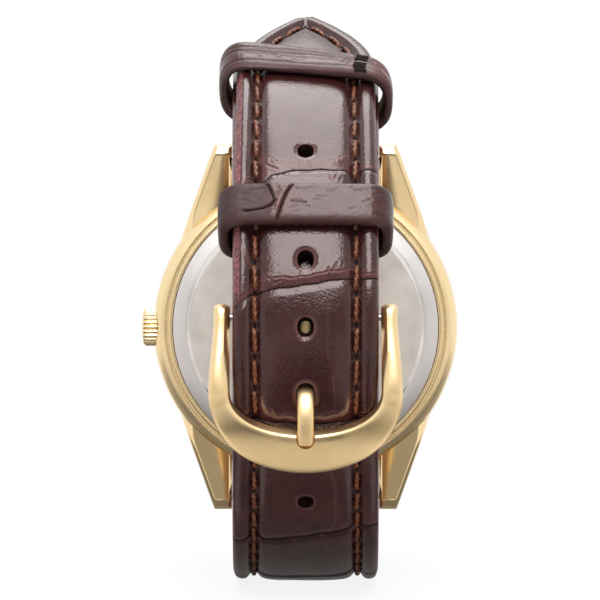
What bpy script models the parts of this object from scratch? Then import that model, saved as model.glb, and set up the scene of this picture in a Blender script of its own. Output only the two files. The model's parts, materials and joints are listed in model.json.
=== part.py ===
# Quartz wristwatch, buckled: gold case, steel lid, stitched leather strap and tang buckle.
# The wrist runs along X through the origin, the buckle is at -Y, the dial faces +Y, 12 o'clock is +Z.
# Inside the head a local frame is used: x to 3 o'clock, y to 12 o'clock, z from the lid to the crystal.

import math

import bmesh
import bpy
from mathutils import Matrix, Vector

# Case, in metres
CASE_DIAMETER = 0.0385
CASE_TOP = 0.0074
CASE_RIM_HEIGHT = 0.0005
CASE_WALL = 0.00335
LUG_REACH = 0.00375
LUG_GAP = 0.0186
LUG_TIP_SPAN = 0.0230
LUG_TAPER = math.radians(20.0)
LUG_BAR_INSET = 0.0016
LUG_BAR_HEIGHT = 0.0021
LUG_HOLE_DEPTH = 0.0012
FLANGE_WIDTH = 0.0013
FLANGE_THICKNESS = 0.00045
GROOVE_INSET = 0.0019
GROOVE_WIDTH = 0.00045
GROOVE_DEPTH = 0.0003
CASE_SHOULDER = 0.0018
CASE_SHOULDER_IN = 0.0006
CASE_FLANK = 0.0024
CASE_FLANK_MID = 0.0011
LUG_RISE = 0.0004
LUG_EDGE = 0.0004

# Steel lid
LID_LEDGE_WIDTH = 0.00085
LID_PLATE = 0.0010
LID_SLOPE_WIDTH = 0.00175
LID_SHOULDER = 0.0004
LID_SHOULDER_DROP = 0.00012
LID_EDGE_DROP = 0.0006
LID_COLLAR_WALL = 0.0005
LID_COLLAR_HEIGHT = 0.0008
GASKET_WIDTH = 0.0004

# Bezel and crystal
BEZEL_WIDTH = 0.0023
BEZEL_HEIGHT = 0.0012
CRYSTAL_THICKNESS = 0.0014
CRYSTAL_GASKET_WIDTH = 0.0005
DIAL_THICKNESS = 0.00035
DIAL_RING_WIDTH = 0.0013
MARKER_LENGTH = 0.0024
MARKER_WIDTH = 0.0006
MARKER_HEIGHT = 0.00015
MARKER_COUNT = 12

# Crown and stem
CROWN_DIAMETER = 0.0048
CROWN_LENGTH = 0.0026
CROWN_PROTRUSION = 0.0015
CROWN_FLUTES = 24
CROWN_FLUTE_DEPTH = 0.00016
CROWN_HEIGHT = 0.0037
CROWN_RECESS_GAP = 0.0002
STEM_RADIUS = 0.00045
CROWN_TUBE_WALL = 0.00035
CROWN_TUBE_REACH = 0.0008
PINION_LENGTH = 0.0016
PINION_RADIUS = 0.00085
LEVER_ARM = 0.0022
LEVER_HALF_WIDTH = 0.0005
LEVER_THICKNESS = 0.00025
LEVER_PIN_RADIUS = 0.00015
STEM_GROOVE_WIDTH = 0.0005

# Movement
HOLDER_WIDTH = 0.0027
HOLDER_HEIGHT = 0.0031
PLATE_THICKNESS = 0.0008
BRIDGE_RISE = 0.00045
BRIDGE_THICKNESS = 0.0004
TRAIN_HEIGHT = 0.00205
MOTION_HEIGHT = 0.0007
HAND_RISE = 0.0003
HAND_STEP = 0.0002
PILLAR_RADIUS = 0.0006
ARBOR_RADIUS = 0.00012
WHEEL_THICKNESS = 0.0002
PINION_HEIGHT = 0.0004
THIRD_ANGLE = math.radians(115.0)
FIFTH_ANGLE = math.radians(215.0)
ROTOR_ANGLE = math.radians(270.0)
ROTOR_MAGNET_RADIUS = 0.0007
BATTERY_THICKNESS = 0.0026
BATTERY_ANGLE = math.radians(305.0)
COIL_RADIUS = 0.0010
STATOR_THICKNESS = 0.00035
QUARTZ_RADIUS = 0.0010
BOARD_THICKNESS = 0.00025
HAND_THICKNESS = 0.00015
HAND_WIDTH = 0.0010

# Strap loop, measured on the outer face of the hole strap
LOOP_NEAR_RADIUS = 0.0250
LOOP_TOP_RADIUS = 0.0640
LOOP_BOTTOM_RADIUS = 0.0410
LOOP_TOP_TURN = math.radians(38.0)
LOOP_BOTTOM_TURN = math.radians(42.0)
TAIL_LIFT = math.radians(60.5)
TAIL_STRAIGHT = 0.0120
BAR_DEPTH = 0.0265
STRAP_LUG_WIDTH = 0.0180
STRAP_BUCKLE_WIDTH = 0.0160
STRAP_LUG_THICKNESS = 0.0034
HOLE_STRAP_THICKNESS = 0.0024
BUCKLE_STRAP_THICKNESS = 0.0027
LINING_THICKNESS = 0.0009
TIP_LENGTH = 0.0115
TIP_ROUND = 0.0008
TAPER_LENGTH = 0.0600
STITCH_INSET = 0.0024
STITCH_CHANNEL = 0.0012
STITCH_CHANNEL_DEPTH = 0.0005
EDGE_DROP = 0.00045
PAD_DROP = 0.0002
THREAD_RADIUS = 0.00018
HOLE_PITCH = 0.00755
HOLE_COUNT = 7
HOLE_IN_USE = 5
HOLE_AT_FACING = 4
HOLE_WIDTH = 0.0021
HOLE_LENGTH = 0.0026

# Keepers and buckle
KEEPER_WALL = 0.0013
KEEPER_WIDTH = 0.0050
KEEPER_SIDE_GAP = 0.0003
FIXED_KEEPER_TURN = math.radians(31.0)
FREE_KEEPER_TURN = math.radians(58.0)
BUCKLE_BAR_TURN = math.radians(3.0)
BAR_RADIUS = 0.00075
BAR_BORE = 0.00045
BAR_TRAVEL = 0.0010
BAR_SHOULDER = 0.0005
BAR_TIP_RADIUS = 0.0004
BAR_TIP_LENGTH = 0.0010
FRAME_LENGTH = 0.0172
FRAME_BAND = 0.0045
FRAME_ARM = 0.0018
FRAME_BELLY = 0.0005
FRAME_ARM_LENGTH = 0.0085
FRAME_THICKNESS = 0.0020
FRAME_END = 0.0013
FRAME_CHAMFER = 0.0005
TONGUE_WIDTH = 0.0017
TONGUE_THICKNESS = 0.0011
TONGUE_SLOT_GAP = 0.0004
NOTCH_DEPTH = 0.0009

# Small forms
EDGE_BREAK = 0.00025
CUT_REACH = 0.0010
SLEEVE_WALL = 0.0002
HAND_HUB_WALL = 0.0006
STRIP_THICKNESS = 0.00012
STRIP_HALF_WIDTH = 0.0011
STATOR_FOOT = 0.0010
STATOR_RIM = 0.0004
CORE_THICKNESS = 0.0004
CROWN_EDGE = 0.0003
TUBE_INSET = 0.0004
SEAL_WIDTH = 0.0004

# Clearances
SEAT_GAP = 0.00005
RUN_GAP = 0.0001
LAYER_GAP = 0.0001
TAIL_GAP = 0.00025
STRAP_SIDE_GAP = 0.0003
FINE_STEPS = 64
ROUND_STEPS = 36
SMALL_STEPS = 12

# Tooth counts
ROTOR_PINION, FIFTH_TEETH = 6, 36
FIFTH_PINION, FOURTH_TEETH = 6, 30
FOURTH_PINION, THIRD_TEETH = 6, 45
THIRD_PINION, CENTRE_TEETH = 6, 48
CANNON_PINION, MINUTE_TEETH = 8, 24
MINUTE_PINION, HOUR_TEETH = 6, 24
SETTING_TEETH = 16

# Levels in the head, counted from the outer face of the lid
CASE_RADIUS = CASE_DIAMETER / 2
CAVITY_RADIUS = CASE_RADIUS - CASE_WALL
LID_RADIUS = CAVITY_RADIUS + LID_LEDGE_WIDTH
LEDGE_Z = LID_PLATE + GASKET_WIDTH * 0.7
HOLDER_Z = LID_PLATE + LID_COLLAR_HEIGHT + RUN_GAP * 2
BRIDGE_Z = LID_PLATE + BRIDGE_RISE
TRAIN_Z = BRIDGE_Z + BRIDGE_THICKNESS
PLATE_Z = TRAIN_Z + TRAIN_HEIGHT
PLATE_TOP = PLATE_Z + PLATE_THICKNESS
DIAL_Z = PLATE_TOP + MOTION_HEIGHT
DIAL_TOP = DIAL_Z + DIAL_THICKNESS
HOUR_HAND_Z = DIAL_TOP + HAND_RISE
MINUTE_HAND_Z = HOUR_HAND_Z + HAND_THICKNESS + HAND_STEP
SECOND_HAND_Z = MINUTE_HAND_Z + HAND_THICKNESS + HAND_STEP
FLANGE_Z = CASE_TOP - FLANGE_THICKNESS
CRYSTAL_Z = CASE_TOP + SEAT_GAP
DIAL_RADIUS = CAVITY_RADIUS - RUN_GAP * 2
HOLDER_RADIUS = CAVITY_RADIUS - RUN_GAP
PLATE_RADIUS = HOLDER_RADIUS - HOLDER_WIDTH - RUN_GAP
LID_FLAT_RADIUS = LID_RADIUS - LID_SLOPE_WIDTH
LUG_TO_LUG = CASE_DIAMETER + 2 * LUG_REACH

# The movement follows the size of its plate
THIRD_DISTANCE = PLATE_RADIUS * 0.308
FIFTH_DISTANCE = PLATE_RADIUS * 0.324
ROTOR_DISTANCE = PLATE_RADIUS * 0.178
MINUTE_DISTANCE = PLATE_RADIUS * 0.185
BATTERY_DIAMETER = PLATE_RADIUS * 0.523
BATTERY_DISTANCE = PLATE_RADIUS * 0.662
COIL_LENGTH = PLATE_RADIUS * 0.26
QUARTZ_LENGTH = PLATE_RADIUS * 0.46
STEM_INNER_END = PLATE_RADIUS * 0.5
LEVER_STATION = PLATE_RADIUS * 0.755
HOUR_HAND_LENGTH = DIAL_RADIUS * 0.52
MINUTE_HAND_LENGTH = DIAL_RADIUS * 0.78
SECOND_HAND_LENGTH = DIAL_RADIUS * 0.83

# Places in the world
LUG_BAR_Y = LUG_TO_LUG / 2 - LUG_BAR_INSET
HEAD_Y = BAR_DEPTH - LUG_BAR_HEIGHT
TAIL_INNER = LOOP_NEAR_RADIUS - HOLE_STRAP_THICKNESS
BUCKLE_OUTER = TAIL_INNER - TAIL_GAP
BUCKLE_MIDDLE = BUCKLE_OUTER - BUCKLE_STRAP_THICKNESS / 2
HOLE_MIDDLE = LOOP_NEAR_RADIUS - HOLE_STRAP_THICKNESS / 2
BUCKLE_INNER = BUCKLE_OUTER - BUCKLE_STRAP_THICKNESS


def clear_scene():
    for old in list(bpy.data.objects):
        bpy.data.objects.remove(old, do_unlink=True)


def make_finish(name, colour, roughness, metallic):
    finish = bpy.data.materials.new(name)
    finish.use_nodes = True
    shader = finish.node_tree.nodes["Principled BSDF"]
    shader.inputs["Base Color"].default_value = (*colour, 1.0)
    shader.inputs["Roughness"].default_value = roughness
    shader.inputs["Metallic"].default_value = metallic
    return finish


FINISHES = {
    "gold": ((0.72, 0.55, 0.27), 0.18, 1.0),
    "steel": ((0.62, 0.60, 0.58), 0.28, 1.0),
    "leather": ((0.055, 0.022, 0.024), 0.28, 0.0),
    "lining": ((0.55, 0.36, 0.20), 0.6, 0.0),
    "thread": ((0.45, 0.16, 0.04), 0.6, 0.0),
    "glass": ((0.85, 0.88, 0.90), 0.05, 0.0),
    "dial": ((0.86, 0.84, 0.78), 0.4, 0.0),
    "plastic": ((0.80, 0.80, 0.76), 0.5, 0.0),
    "rubber": ((0.03, 0.03, 0.03), 0.7, 0.0),
    "brass": ((0.70, 0.52, 0.24), 0.3, 1.0),
    "board": ((0.05, 0.20, 0.10), 0.5, 0.0),
    "copper": ((0.60, 0.25, 0.12), 0.35, 1.0),
}


def turn(angle):
    return Vector((math.cos(angle), math.sin(angle), 0.0))


def place(name, form, finish, parent=None, location=(0, 0, 0)):
    bmesh.ops.recalc_face_normals(form, faces=form.faces)
    mesh = bpy.data.meshes.new(name)
    form.to_mesh(mesh)
    form.free()
    mesh.shade_smooth()
    mesh.set_sharp_from_angle(angle=math.radians(35.0))
    mesh.materials.append(make_finish(name, *FINISHES[finish]))
    thing = bpy.data.objects.new(name, mesh)
    bpy.context.scene.collection.objects.link(thing)
    thing.parent = parent
    thing.location = location
    return thing


def guide(name, form, parent=None, location=(0, 0, 0)):
    thing = place(name, form, "plastic", parent, location)
    thing.hide_render = True
    thing.display_type = "WIRE"
    return thing


def combine(thing, other, operation):
    change = thing.modifiers.new(f"{operation.lower()} {other.name}", "BOOLEAN")
    change.operation = operation
    change.solver = "EXACT"
    change.object = other


def lathe(profile, steps=ROUND_STEPS, closed=True):
    form = bmesh.new()
    points = [form.verts.new((radius, 0.0, level)) for radius, level in profile]
    pairs = list(zip(points, points[1:]))
    if closed:
        pairs.append((points[-1], points[0]))
    edges = [form.edges.new(pair) for pair in pairs]
    bmesh.ops.spin(
        form,
        geom=points + edges,
        axis=(0, 0, 1),
        cent=(0, 0, 0),
        angle=math.tau,
        steps=steps,
        use_merge=True,
    )
    bmesh.ops.remove_doubles(form, verts=form.verts, dist=1e-7)
    if not closed:
        # flat ends become one face each
        poles = [point for point in form.verts if math.hypot(point.co.x, point.co.y) < 1e-8]
        bmesh.ops.dissolve_verts(form, verts=poles)
    return form


def ring(inner, outer, low, high, steps=ROUND_STEPS):
    return lathe([(outer, high), (outer, low), (inner, low), (inner, high)], steps)


def disc(radius, low, high, steps=ROUND_STEPS):
    return lathe([(0.0, high), (radius, high), (radius, low), (0.0, low)], steps, closed=False)


def prism(outline, low, high):
    form = bmesh.new()
    base = form.faces.new([form.verts.new((x, y, low)) for x, y in outline])
    grown = bmesh.ops.extrude_face_region(form, geom=[base])
    lifted = [item for item in grown["geom"] if isinstance(item, bmesh.types.BMVert)]
    bmesh.ops.translate(form, verts=lifted, vec=(0, 0, high - low))
    return form


def block(low, high):
    corners = [(low[0], low[1]), (high[0], low[1]), (high[0], high[1]), (low[0], high[1])]
    return prism(corners, low[2], high[2])


def along_x(form):
    # turns a shape made along z so that it lies along x
    bmesh.ops.transform(form, matrix=Matrix.Rotation(math.pi / 2, 4, "Y"), verts=form.verts)
    return form


def rod_x(radius, start, end, steps=SMALL_STEPS):
    return along_x(disc(radius, start, end, steps))


def moved(form, offset):
    bmesh.ops.translate(form, verts=form.verts, vec=offset)
    return form


def sweep(sections):
    form = bmesh.new()
    rows = [[form.verts.new(point) for point in section] for section in sections]
    count = len(rows[0])
    for row, after in zip(rows, rows[1:]):
        for i in range(count):
            j = (i + 1) % count
            form.faces.new((row[i], row[j], after[j], after[i]))
    form.faces.new(list(reversed(rows[0])))
    form.faces.new(rows[-1])
    return form


def joined(forms):
    whole = bmesh.new()
    for form in forms:
        mesh = bpy.data.meshes.new("joined piece")
        form.to_mesh(mesh)
        form.free()
        whole.from_mesh(mesh)
        bpy.data.meshes.remove(mesh)
    return whole


def smooth(value):
    value = min(max(value, 0.0), 1.0)
    return value * value * (3 - 2 * value)


def spread(start, end, count):
    return [start + (end - start) * i / (count - 1) for i in range(count)]


# Strap path: arcs that share their normals where they meet, in the plane of Y and Z


def outward(angle):
    # 0 faces the buckle side, positive angles climb to 12 o'clock
    return Vector((0.0, -math.cos(angle), math.sin(angle)))


def angle_of(direction):
    return math.atan2(direction.z, -direction.y)


def arc_to(start, angle, target):
    # the arc that leaves start with the given normal and runs through target:
    # its centre, radius and last angle
    normal = outward(angle)
    chord = target - start
    radius = -chord.length_squared / (2 * chord.dot(normal))
    centre = start - normal * radius
    last = angle_of(target - centre)
    if abs(last - angle) > math.pi:
        last -= math.copysign(math.tau, last - angle)
    return centre, radius, last


BAR_12 = Vector((0.0, BAR_DEPTH, LUG_BAR_Y))
BAR_6 = Vector((0.0, BAR_DEPTH, -LUG_BAR_Y))
ORIGIN = Vector((0.0, 0.0, 0.0))
TOP_CENTRE = outward(LOOP_TOP_TURN) * (LOOP_NEAR_RADIUS - LOOP_TOP_RADIUS)
BOTTOM_CENTRE = outward(-LOOP_BOTTOM_TURN) * (LOOP_NEAR_RADIUS - LOOP_BOTTOM_RADIUS)
QUARTER = math.pi / 2


def hole_strap_path():
    inset = HOLE_STRAP_THICKNESS / 2
    bottom_radius = LOOP_BOTTOM_RADIUS - inset
    lowest = BOTTOM_CENTRE + outward(-QUARTER) * bottom_radius
    lug_centre, lug_radius, lug_angle = arc_to(lowest, -QUARTER, BAR_6)
    return [
        (lug_centre, lug_radius, lug_angle, -QUARTER),
        (BOTTOM_CENTRE, bottom_radius, -QUARTER, -LOOP_BOTTOM_TURN),
        (ORIGIN, HOLE_MIDDLE, -LOOP_BOTTOM_TURN, LOOP_TOP_TURN),
        (TOP_CENTRE, LOOP_TOP_RADIUS - inset, LOOP_TOP_TURN, TAIL_LIFT),
    ]


def buckle_strap_path():
    top_radius = LOOP_TOP_RADIUS - LOOP_NEAR_RADIUS + BUCKLE_MIDDLE
    highest = TOP_CENTRE + outward(TAIL_LIFT) * top_radius
    lug_centre, lug_radius, lug_angle = arc_to(highest, TAIL_LIFT, BAR_12)
    return [
        (ORIGIN, BUCKLE_MIDDLE, BUCKLE_BAR_TURN, LOOP_TOP_TURN),
        (TOP_CENTRE, top_radius, LOOP_TOP_TURN, TAIL_LIFT),
        (lug_centre, lug_radius, TAIL_LIFT, lug_angle),
    ]


def path_length(path):
    return sum(radius * (last - first) for _, radius, first, last in path)


def on_path(path, distance):
    # the point and the outward normal at a distance; beyond either end the path runs straight on
    centre, radius, first, _ = path[0]
    if distance < 0:
        normal = outward(first)
        return centre + normal * radius + along(first) * distance, normal
    for centre, radius, first, last in path:
        length = radius * (last - first)
        if distance <= length:
            normal = outward(first + distance / radius)
            return centre + normal * radius, normal
        distance -= length
    normal = outward(last)
    return centre + normal * radius + along(last) * distance, normal


def along(angle):
    return Vector((0.0, math.sin(angle), math.cos(angle)))


def end_round(distance, reach):
    # half thickness of a round end, at a distance past its centre
    return math.sqrt(max(reach * reach - distance * distance, 0.0))


HOLE_PATH = hole_strap_path()
BUCKLE_PATH = buckle_strap_path()
HOLE_LENGTH_TO_TIP = path_length(HOLE_PATH) + TAIL_STRAIGHT
BUCKLE_LENGTH = path_length(BUCKLE_PATH)
FACING = path_length(HOLE_PATH[:2]) + HOLE_MIDDLE * LOOP_BOTTOM_TURN
END_REACH = STRAP_LUG_THICKNESS / 2
FOLD_REACH = BUCKLE_STRAP_THICKNESS / 2


def hole_strap_half_width(distance):
    half = STRAP_LUG_WIDTH / 2 - (STRAP_LUG_WIDTH - STRAP_BUCKLE_WIDTH) / 2 * min(
        max(distance, 0.0) / TAPER_LENGTH, 1.0
    )
    left = HOLE_LENGTH_TO_TIP - distance
    if left < TIP_LENGTH:
        # a pointed arch, blunted at its very end
        share = max(left / TIP_LENGTH, 0.0)
        half = TIP_ROUND + (half - TIP_ROUND) * math.sin(share * QUARTER) ** 0.85
    return half


def hole_strap_thickness(distance):
    if distance < 0:
        return 2 * end_round(distance, END_REACH)
    share = smooth(distance / TAPER_LENGTH)
    return STRAP_LUG_THICKNESS + (HOLE_STRAP_THICKNESS - STRAP_LUG_THICKNESS) * share


def buckle_strap_half_width(distance):
    share = min(max(distance / BUCKLE_LENGTH, 0.0), 1.0)
    return (STRAP_BUCKLE_WIDTH + (STRAP_LUG_WIDTH - STRAP_BUCKLE_WIDTH) * share) / 2


BUCKLE_EVEN = path_length(BUCKLE_PATH[:2])


def buckle_strap_thickness(distance):
    if distance < 0:
        return 2 * end_round(distance, FOLD_REACH)
    if distance > BUCKLE_LENGTH:
        return 2 * end_round(distance - BUCKLE_LENGTH, END_REACH)
    share = smooth((distance - BUCKLE_EVEN) / (BUCKLE_LENGTH - BUCKLE_EVEN))
    return BUCKLE_STRAP_THICKNESS + (STRAP_LUG_THICKNESS - BUCKLE_STRAP_THICKNESS) * share


def channel_place(half):
    # where the stitch channel lies across the strap, and half its width
    middle = max(half - STITCH_INSET, half * 0.42)
    return middle, min(STITCH_CHANNEL / 2, middle * 0.45, (half - middle) * 0.45)


def upper_section(path, distance, half, thickness, split):
    point, normal = on_path(path, distance)
    top = thickness / 2
    middle, reach = channel_place(half)
    edge = min(EDGE_DROP, top * 0.5)
    drop = min(PAD_DROP, top * 0.25)
    deep = min(PAD_DROP + STITCH_CHANNEL_DEPTH, top * 0.6)
    rise = [
        (half, top - edge - drop),
        (half - min(EDGE_DROP, (half - middle - reach) / 2), top - drop),
        (middle + reach, top - drop),
        (middle, top - deep),
        (middle - reach, top - drop),
    ]
    across = [(half, split)] + rise + [(0.0, top)]
    across += [(-x, height) for x, height in reversed(rise)] + [(-half, split)]
    return [Vector((x, 0, 0)) + point + normal * height for x, height in across]


def lining_section(path, distance, half, thickness, top):
    point, normal = on_path(path, distance)
    low = -thickness / 2
    across = [(half, low), (half, top), (-half, top), (-half, low)]
    return [Vector((x, 0, 0)) + point + normal * height for x, height in across]


def hole_stations():
    start = [-END_REACH * math.sin(angle) for angle in spread(math.radians(70), 0.0, 4)]
    tip = HOLE_LENGTH_TO_TIP - TIP_LENGTH
    ends = [HOLE_LENGTH_TO_TIP - TIP_LENGTH * share for share in (0.75, 0.5, 0.3, 0.12, 0.0)]
    return start + spread(0.0, tip, 46)[1:] + ends


def buckle_stations():
    fold = [-FOLD_REACH * math.sin(angle) for angle in spread(math.radians(70), 0.0, 4)]
    lug = [BUCKLE_LENGTH + END_REACH * math.sin(angle) for angle in spread(0.0, math.radians(70), 4)]
    return fold + spread(0.0, BUCKLE_LENGTH, 30)[1:] + lug[1:]


def strap_layers(name, path, stations, half_of, thickness_of, plain, parent, pivot):
    # upper leather and lining meet on a plane that keeps its height from the middle of the strap
    split = -plain / 2 + LINING_THICKNESS
    upper, lining = [], []
    for distance in stations:
        half, thickness = half_of(distance), thickness_of(distance)
        seam = split - (thickness - plain) / 2 if thickness > plain else split
        if thickness / 2 > -seam + LAYER_GAP:
            lining.append(lining_section(path, distance, half, thickness, seam))
        floor = max(seam + LAYER_GAP, -thickness / 2)
        upper.append(upper_section(path, distance, half, thickness, floor))
    shift = [[point - pivot for point in section] for section in upper]
    below = [[point - pivot for point in section] for section in lining]
    return (
        place(f"{name}_upper", sweep(shift), "leather", parent, pivot),
        place(f"{name}_lining", sweep(below), "lining", parent, pivot),
    )


def thread_ring(point, side, rise):
    return [
        point + side * THREAD_RADIUS,
        point + rise * THREAD_RADIUS,
        point - side * THREAD_RADIUS,
        point - rise * THREAD_RADIUS,
    ]


def thread_point(path, distance, half, thickness, sign, lift=0.0):
    point, normal = on_path(path, distance)
    middle, _ = channel_place(half)
    height = thickness / 2 - PAD_DROP - STITCH_CHANNEL_DEPTH + THREAD_RADIUS * 1.9 + lift
    return Vector((sign * middle, 0, 0)) + point + normal * height


def thread_tube(points):
    sections = []
    for i, point in enumerate(points):
        ahead = (points[min(i + 1, len(points) - 1)] - points[max(i - 1, 0)]).normalized()
        side = Vector((1, 0, 0)) - ahead * ahead.x
        if side.length < 0.5:
            side = ahead.cross(outward(angle_of(point)))
        side.normalize()
        sections.append(thread_ring(point, side, ahead.cross(side)))
    return sweep(sections)


def hole_strap_stitching(parent):
    stations = [s for s in hole_stations() if END_REACH * 1.8 < s < HOLE_LENGTH_TO_TIP - STITCH_INSET * 1.6]
    proud = PAD_DROP + STITCH_CHANNEL_DEPTH
    sides = []
    for sign in (-1, 1):
        run = []
        for s in stations:
            late = s > HOLE_LENGTH_TO_TIP - TIP_LENGTH
            lift = proud if late else 0.0
            run.append(
                thread_point(HOLE_PATH, s, hole_strap_half_width(s), hole_strap_thickness(s), sign, lift)
            )
        sides.append(run)
    points = sides[0] + list(reversed(sides[1]))
    form = thread_tube([point - BAR_6 for point in points])
    return place("hole_strap_stitching", form, "thread", parent, BAR_6)


def buckle_strap_stitching(parent):
    stations = [s for s in buckle_stations() if KEEPER_WIDTH < s < BUCKLE_LENGTH - END_REACH * 2]
    proud = PAD_DROP + STITCH_CHANNEL_DEPTH
    sides = []
    for sign in (-1, 1):
        run = []
        for s in stations:
            lift = proud if s == stations[-1] else 0.0
            half = buckle_strap_half_width(s)
            run.append(thread_point(BUCKLE_PATH, s, half, buckle_strap_thickness(s), sign, lift))
        sides.append(run)
    points = sides[0] + list(reversed(sides[1]))
    form = thread_tube([point - BAR_12 for point in points])
    return place("buckle_strap_stitching", form, "thread", parent, BAR_12)


def oval(width, length, steps=12):
    # an outline with round ends, long in its second direction
    reach = (length - width) / 2
    points = []
    for i in range(steps):
        angle = math.tau * (i + 0.5) / steps
        shift = math.copysign(reach, math.sin(angle))
        points.append((width / 2 * math.cos(angle), width / 2 * math.sin(angle) + shift))
    return points


def hole_cutters(parent):
    forms = []
    depth = STRAP_LUG_THICKNESS
    for number in range(1, HOLE_COUNT + 1):
        arc = (HOLE_AT_FACING - number) * HOLE_PITCH * HOLE_MIDDLE / LOOP_NEAR_RADIUS
        point, normal = on_path(HOLE_PATH, FACING + arc)
        form = prism(oval(HOLE_WIDTH, HOLE_LENGTH), -depth, depth)
        tangent = normal.cross(Vector((1, 0, 0)))
        frame = Matrix((Vector((1, 0, 0)), tangent, normal)).transposed().to_4x4()
        frame.translation = point - BAR_6
        bmesh.ops.transform(form, matrix=frame, verts=form.verts)
        forms.append(form)
    return guide("strap_hole_cutters", joined(forms), parent, BAR_6)


def bar_cutter(name, place_at, half, parent=None):
    radius = BAR_RADIUS + RUN_GAP * 2
    return guide(name, rod_x(radius, -half * 2, half * 2), parent, place_at)


def build_straps():
    hole_upper, hole_lining = strap_layers(
        "hole_strap", HOLE_PATH, hole_stations(), hole_strap_half_width,
        hole_strap_thickness, HOLE_STRAP_THICKNESS, None, BAR_6,
    )
    buckle_upper, buckle_lining = strap_layers(
        "buckle_strap", BUCKLE_PATH, buckle_stations(), buckle_strap_half_width,
        buckle_strap_thickness, BUCKLE_STRAP_THICKNESS, None, BAR_12,
    )
    holes = hole_cutters(None)
    bore_6 = bar_cutter("bar_bore_6", BAR_6, STRAP_LUG_WIDTH)
    bore_12 = bar_cutter("bar_bore_12", BAR_12, STRAP_LUG_WIDTH)
    bore_buckle = bar_cutter("bar_bore_buckle", buckle_bar_point(), STRAP_BUCKLE_WIDTH)
    slot = tongue_slot()
    for layer in (hole_upper, hole_lining):
        combine(layer, holes, "DIFFERENCE")
        combine(layer, bore_6, "DIFFERENCE")
    for layer in (buckle_upper, buckle_lining):
        combine(layer, bore_12, "DIFFERENCE")
        combine(layer, bore_buckle, "DIFFERENCE")
        combine(layer, slot, "DIFFERENCE")
    hole_strap_stitching(None)
    buckle_strap_stitching(None)


# Keepers: closed leather loops round both strap layers


def keeper_form(half_inner, low, high, width):
    wall = KEEPER_WALL
    bend = wall * 1.6
    sections = []
    corners = [(1, 1), (-1, 1), (-1, -1), (1, -1)]
    for i, (sx, sy) in enumerate(corners):
        for angle in spread(0.0, QUARTER, 4):
            turned = angle + i * QUARTER
            centre = Vector((
                sx * (half_inner + wall - bend),
                (high + wall - bend) if sy > 0 else (low - wall + bend),
                0.0,
            ))
            direction = turn(turned)
            outer = centre + direction * bend
            inner = centre + direction * (bend - wall)
            soft = wall * 0.25
            sections.append([
                Vector((inner.x, inner.y, -width / 2)),
                Vector((*(outer - direction * soft).xy, -width / 2)),
                Vector((outer.x, outer.y, -width / 2 + soft)),
                Vector((outer.x, outer.y, width / 2 - soft)),
                Vector((*(outer - direction * soft).xy, width / 2)),
                Vector((inner.x, inner.y, width / 2)),
            ])
    form = bmesh.new()
    rows = [[form.verts.new(point) for point in section] for section in sections]
    for row, after in zip(rows, rows[1:] + rows[:1]):
        for i in range(len(row)):
            j = (i + 1) % len(row)
            form.faces.new((row[i], row[j], after[j], after[i]))
    return form


def set_on_arc(form, centre, radius, angle):
    # x stays across the strap, y points outward, z runs along the strap
    normal = outward(angle)
    frame = Matrix((Vector((1, 0, 0)), normal, along(angle))).transposed().to_4x4()
    frame.translation = centre + normal * radius
    bmesh.ops.transform(form, matrix=frame, verts=form.verts)
    return form


def keeper_bow(radius):
    # how far a curved strap stands off a straight keeper at its edges
    return radius - math.sqrt(radius * radius - KEEPER_WIDTH * KEEPER_WIDTH / 4)


def build_keepers():
    stack = BUCKLE_STRAP_THICKNESS + TAIL_GAP + HOLE_STRAP_THICKNESS
    inner_radius = BUCKLE_INNER
    bow = keeper_bow(inner_radius)
    half = STRAP_BUCKLE_WIDTH / 2 + KEEPER_SIDE_GAP + (STRAP_LUG_WIDTH - STRAP_BUCKLE_WIDTH) / 8
    fixed = keeper_form(half, -TAIL_GAP - bow, stack + TAIL_GAP, KEEPER_WIDTH)
    set_on_arc(fixed, ORIGIN, inner_radius, FIXED_KEEPER_TURN)
    place("fixed_keeper", moved(fixed, -BAR_12), "leather", None, BAR_12)
    top_inner = LOOP_TOP_RADIUS - LOOP_NEAR_RADIUS + BUCKLE_INNER
    bow = keeper_bow(top_inner)
    half = STRAP_LUG_WIDTH / 2 + KEEPER_SIDE_GAP - (STRAP_LUG_WIDTH - STRAP_BUCKLE_WIDTH) / 8
    free = keeper_form(half, -TAIL_GAP - bow, stack + TAIL_GAP, KEEPER_WIDTH)
    set_on_arc(free, TOP_CENTRE, top_inner, FREE_KEEPER_TURN)
    place("free_keeper", moved(free, -TOP_CENTRE), "leather", None, TOP_CENTRE)


# Buckle


def buckle_bar_point():
    return outward(BUCKLE_BAR_TURN) * BUCKLE_MIDDLE


def buckle_map(across, distance, radius):
    # distance runs from the bar along the outer strap face, towards 6 o'clock
    angle = BUCKLE_BAR_TURN - distance / LOOP_NEAR_RADIUS
    return Vector((across, 0, 0)) + outward(angle) * radius


def frame_radius(distance):
    front = LOOP_NEAR_RADIUS + TAIL_GAP * 1.4 + FRAME_THICKNESS / 2
    return BUCKLE_MIDDLE + (front - BUCKLE_MIDDLE) * smooth(distance / (FRAME_LENGTH * 0.68))


def frame_section(inner, outer):
    half = FRAME_THICKNESS / 2
    span = (Vector(outer) - Vector(inner)).length
    cut = min(FRAME_CHAMFER, span * 0.3) / span
    points = []
    for share, height in (
        (0, -half + FRAME_CHAMFER), (cut, -half), (1 - cut, -half), (1, -half + FRAME_CHAMFER),
        (1, half - FRAME_CHAMFER), (1 - cut, half), (cut, half), (0, half - FRAME_CHAMFER),
    ):
        across = inner[0] + (outer[0] - inner[0]) * share
        distance = inner[1] + (outer[1] - inner[1]) * share
        points.append(buckle_map(across, distance, frame_radius(distance) + height))
    return points


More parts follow.
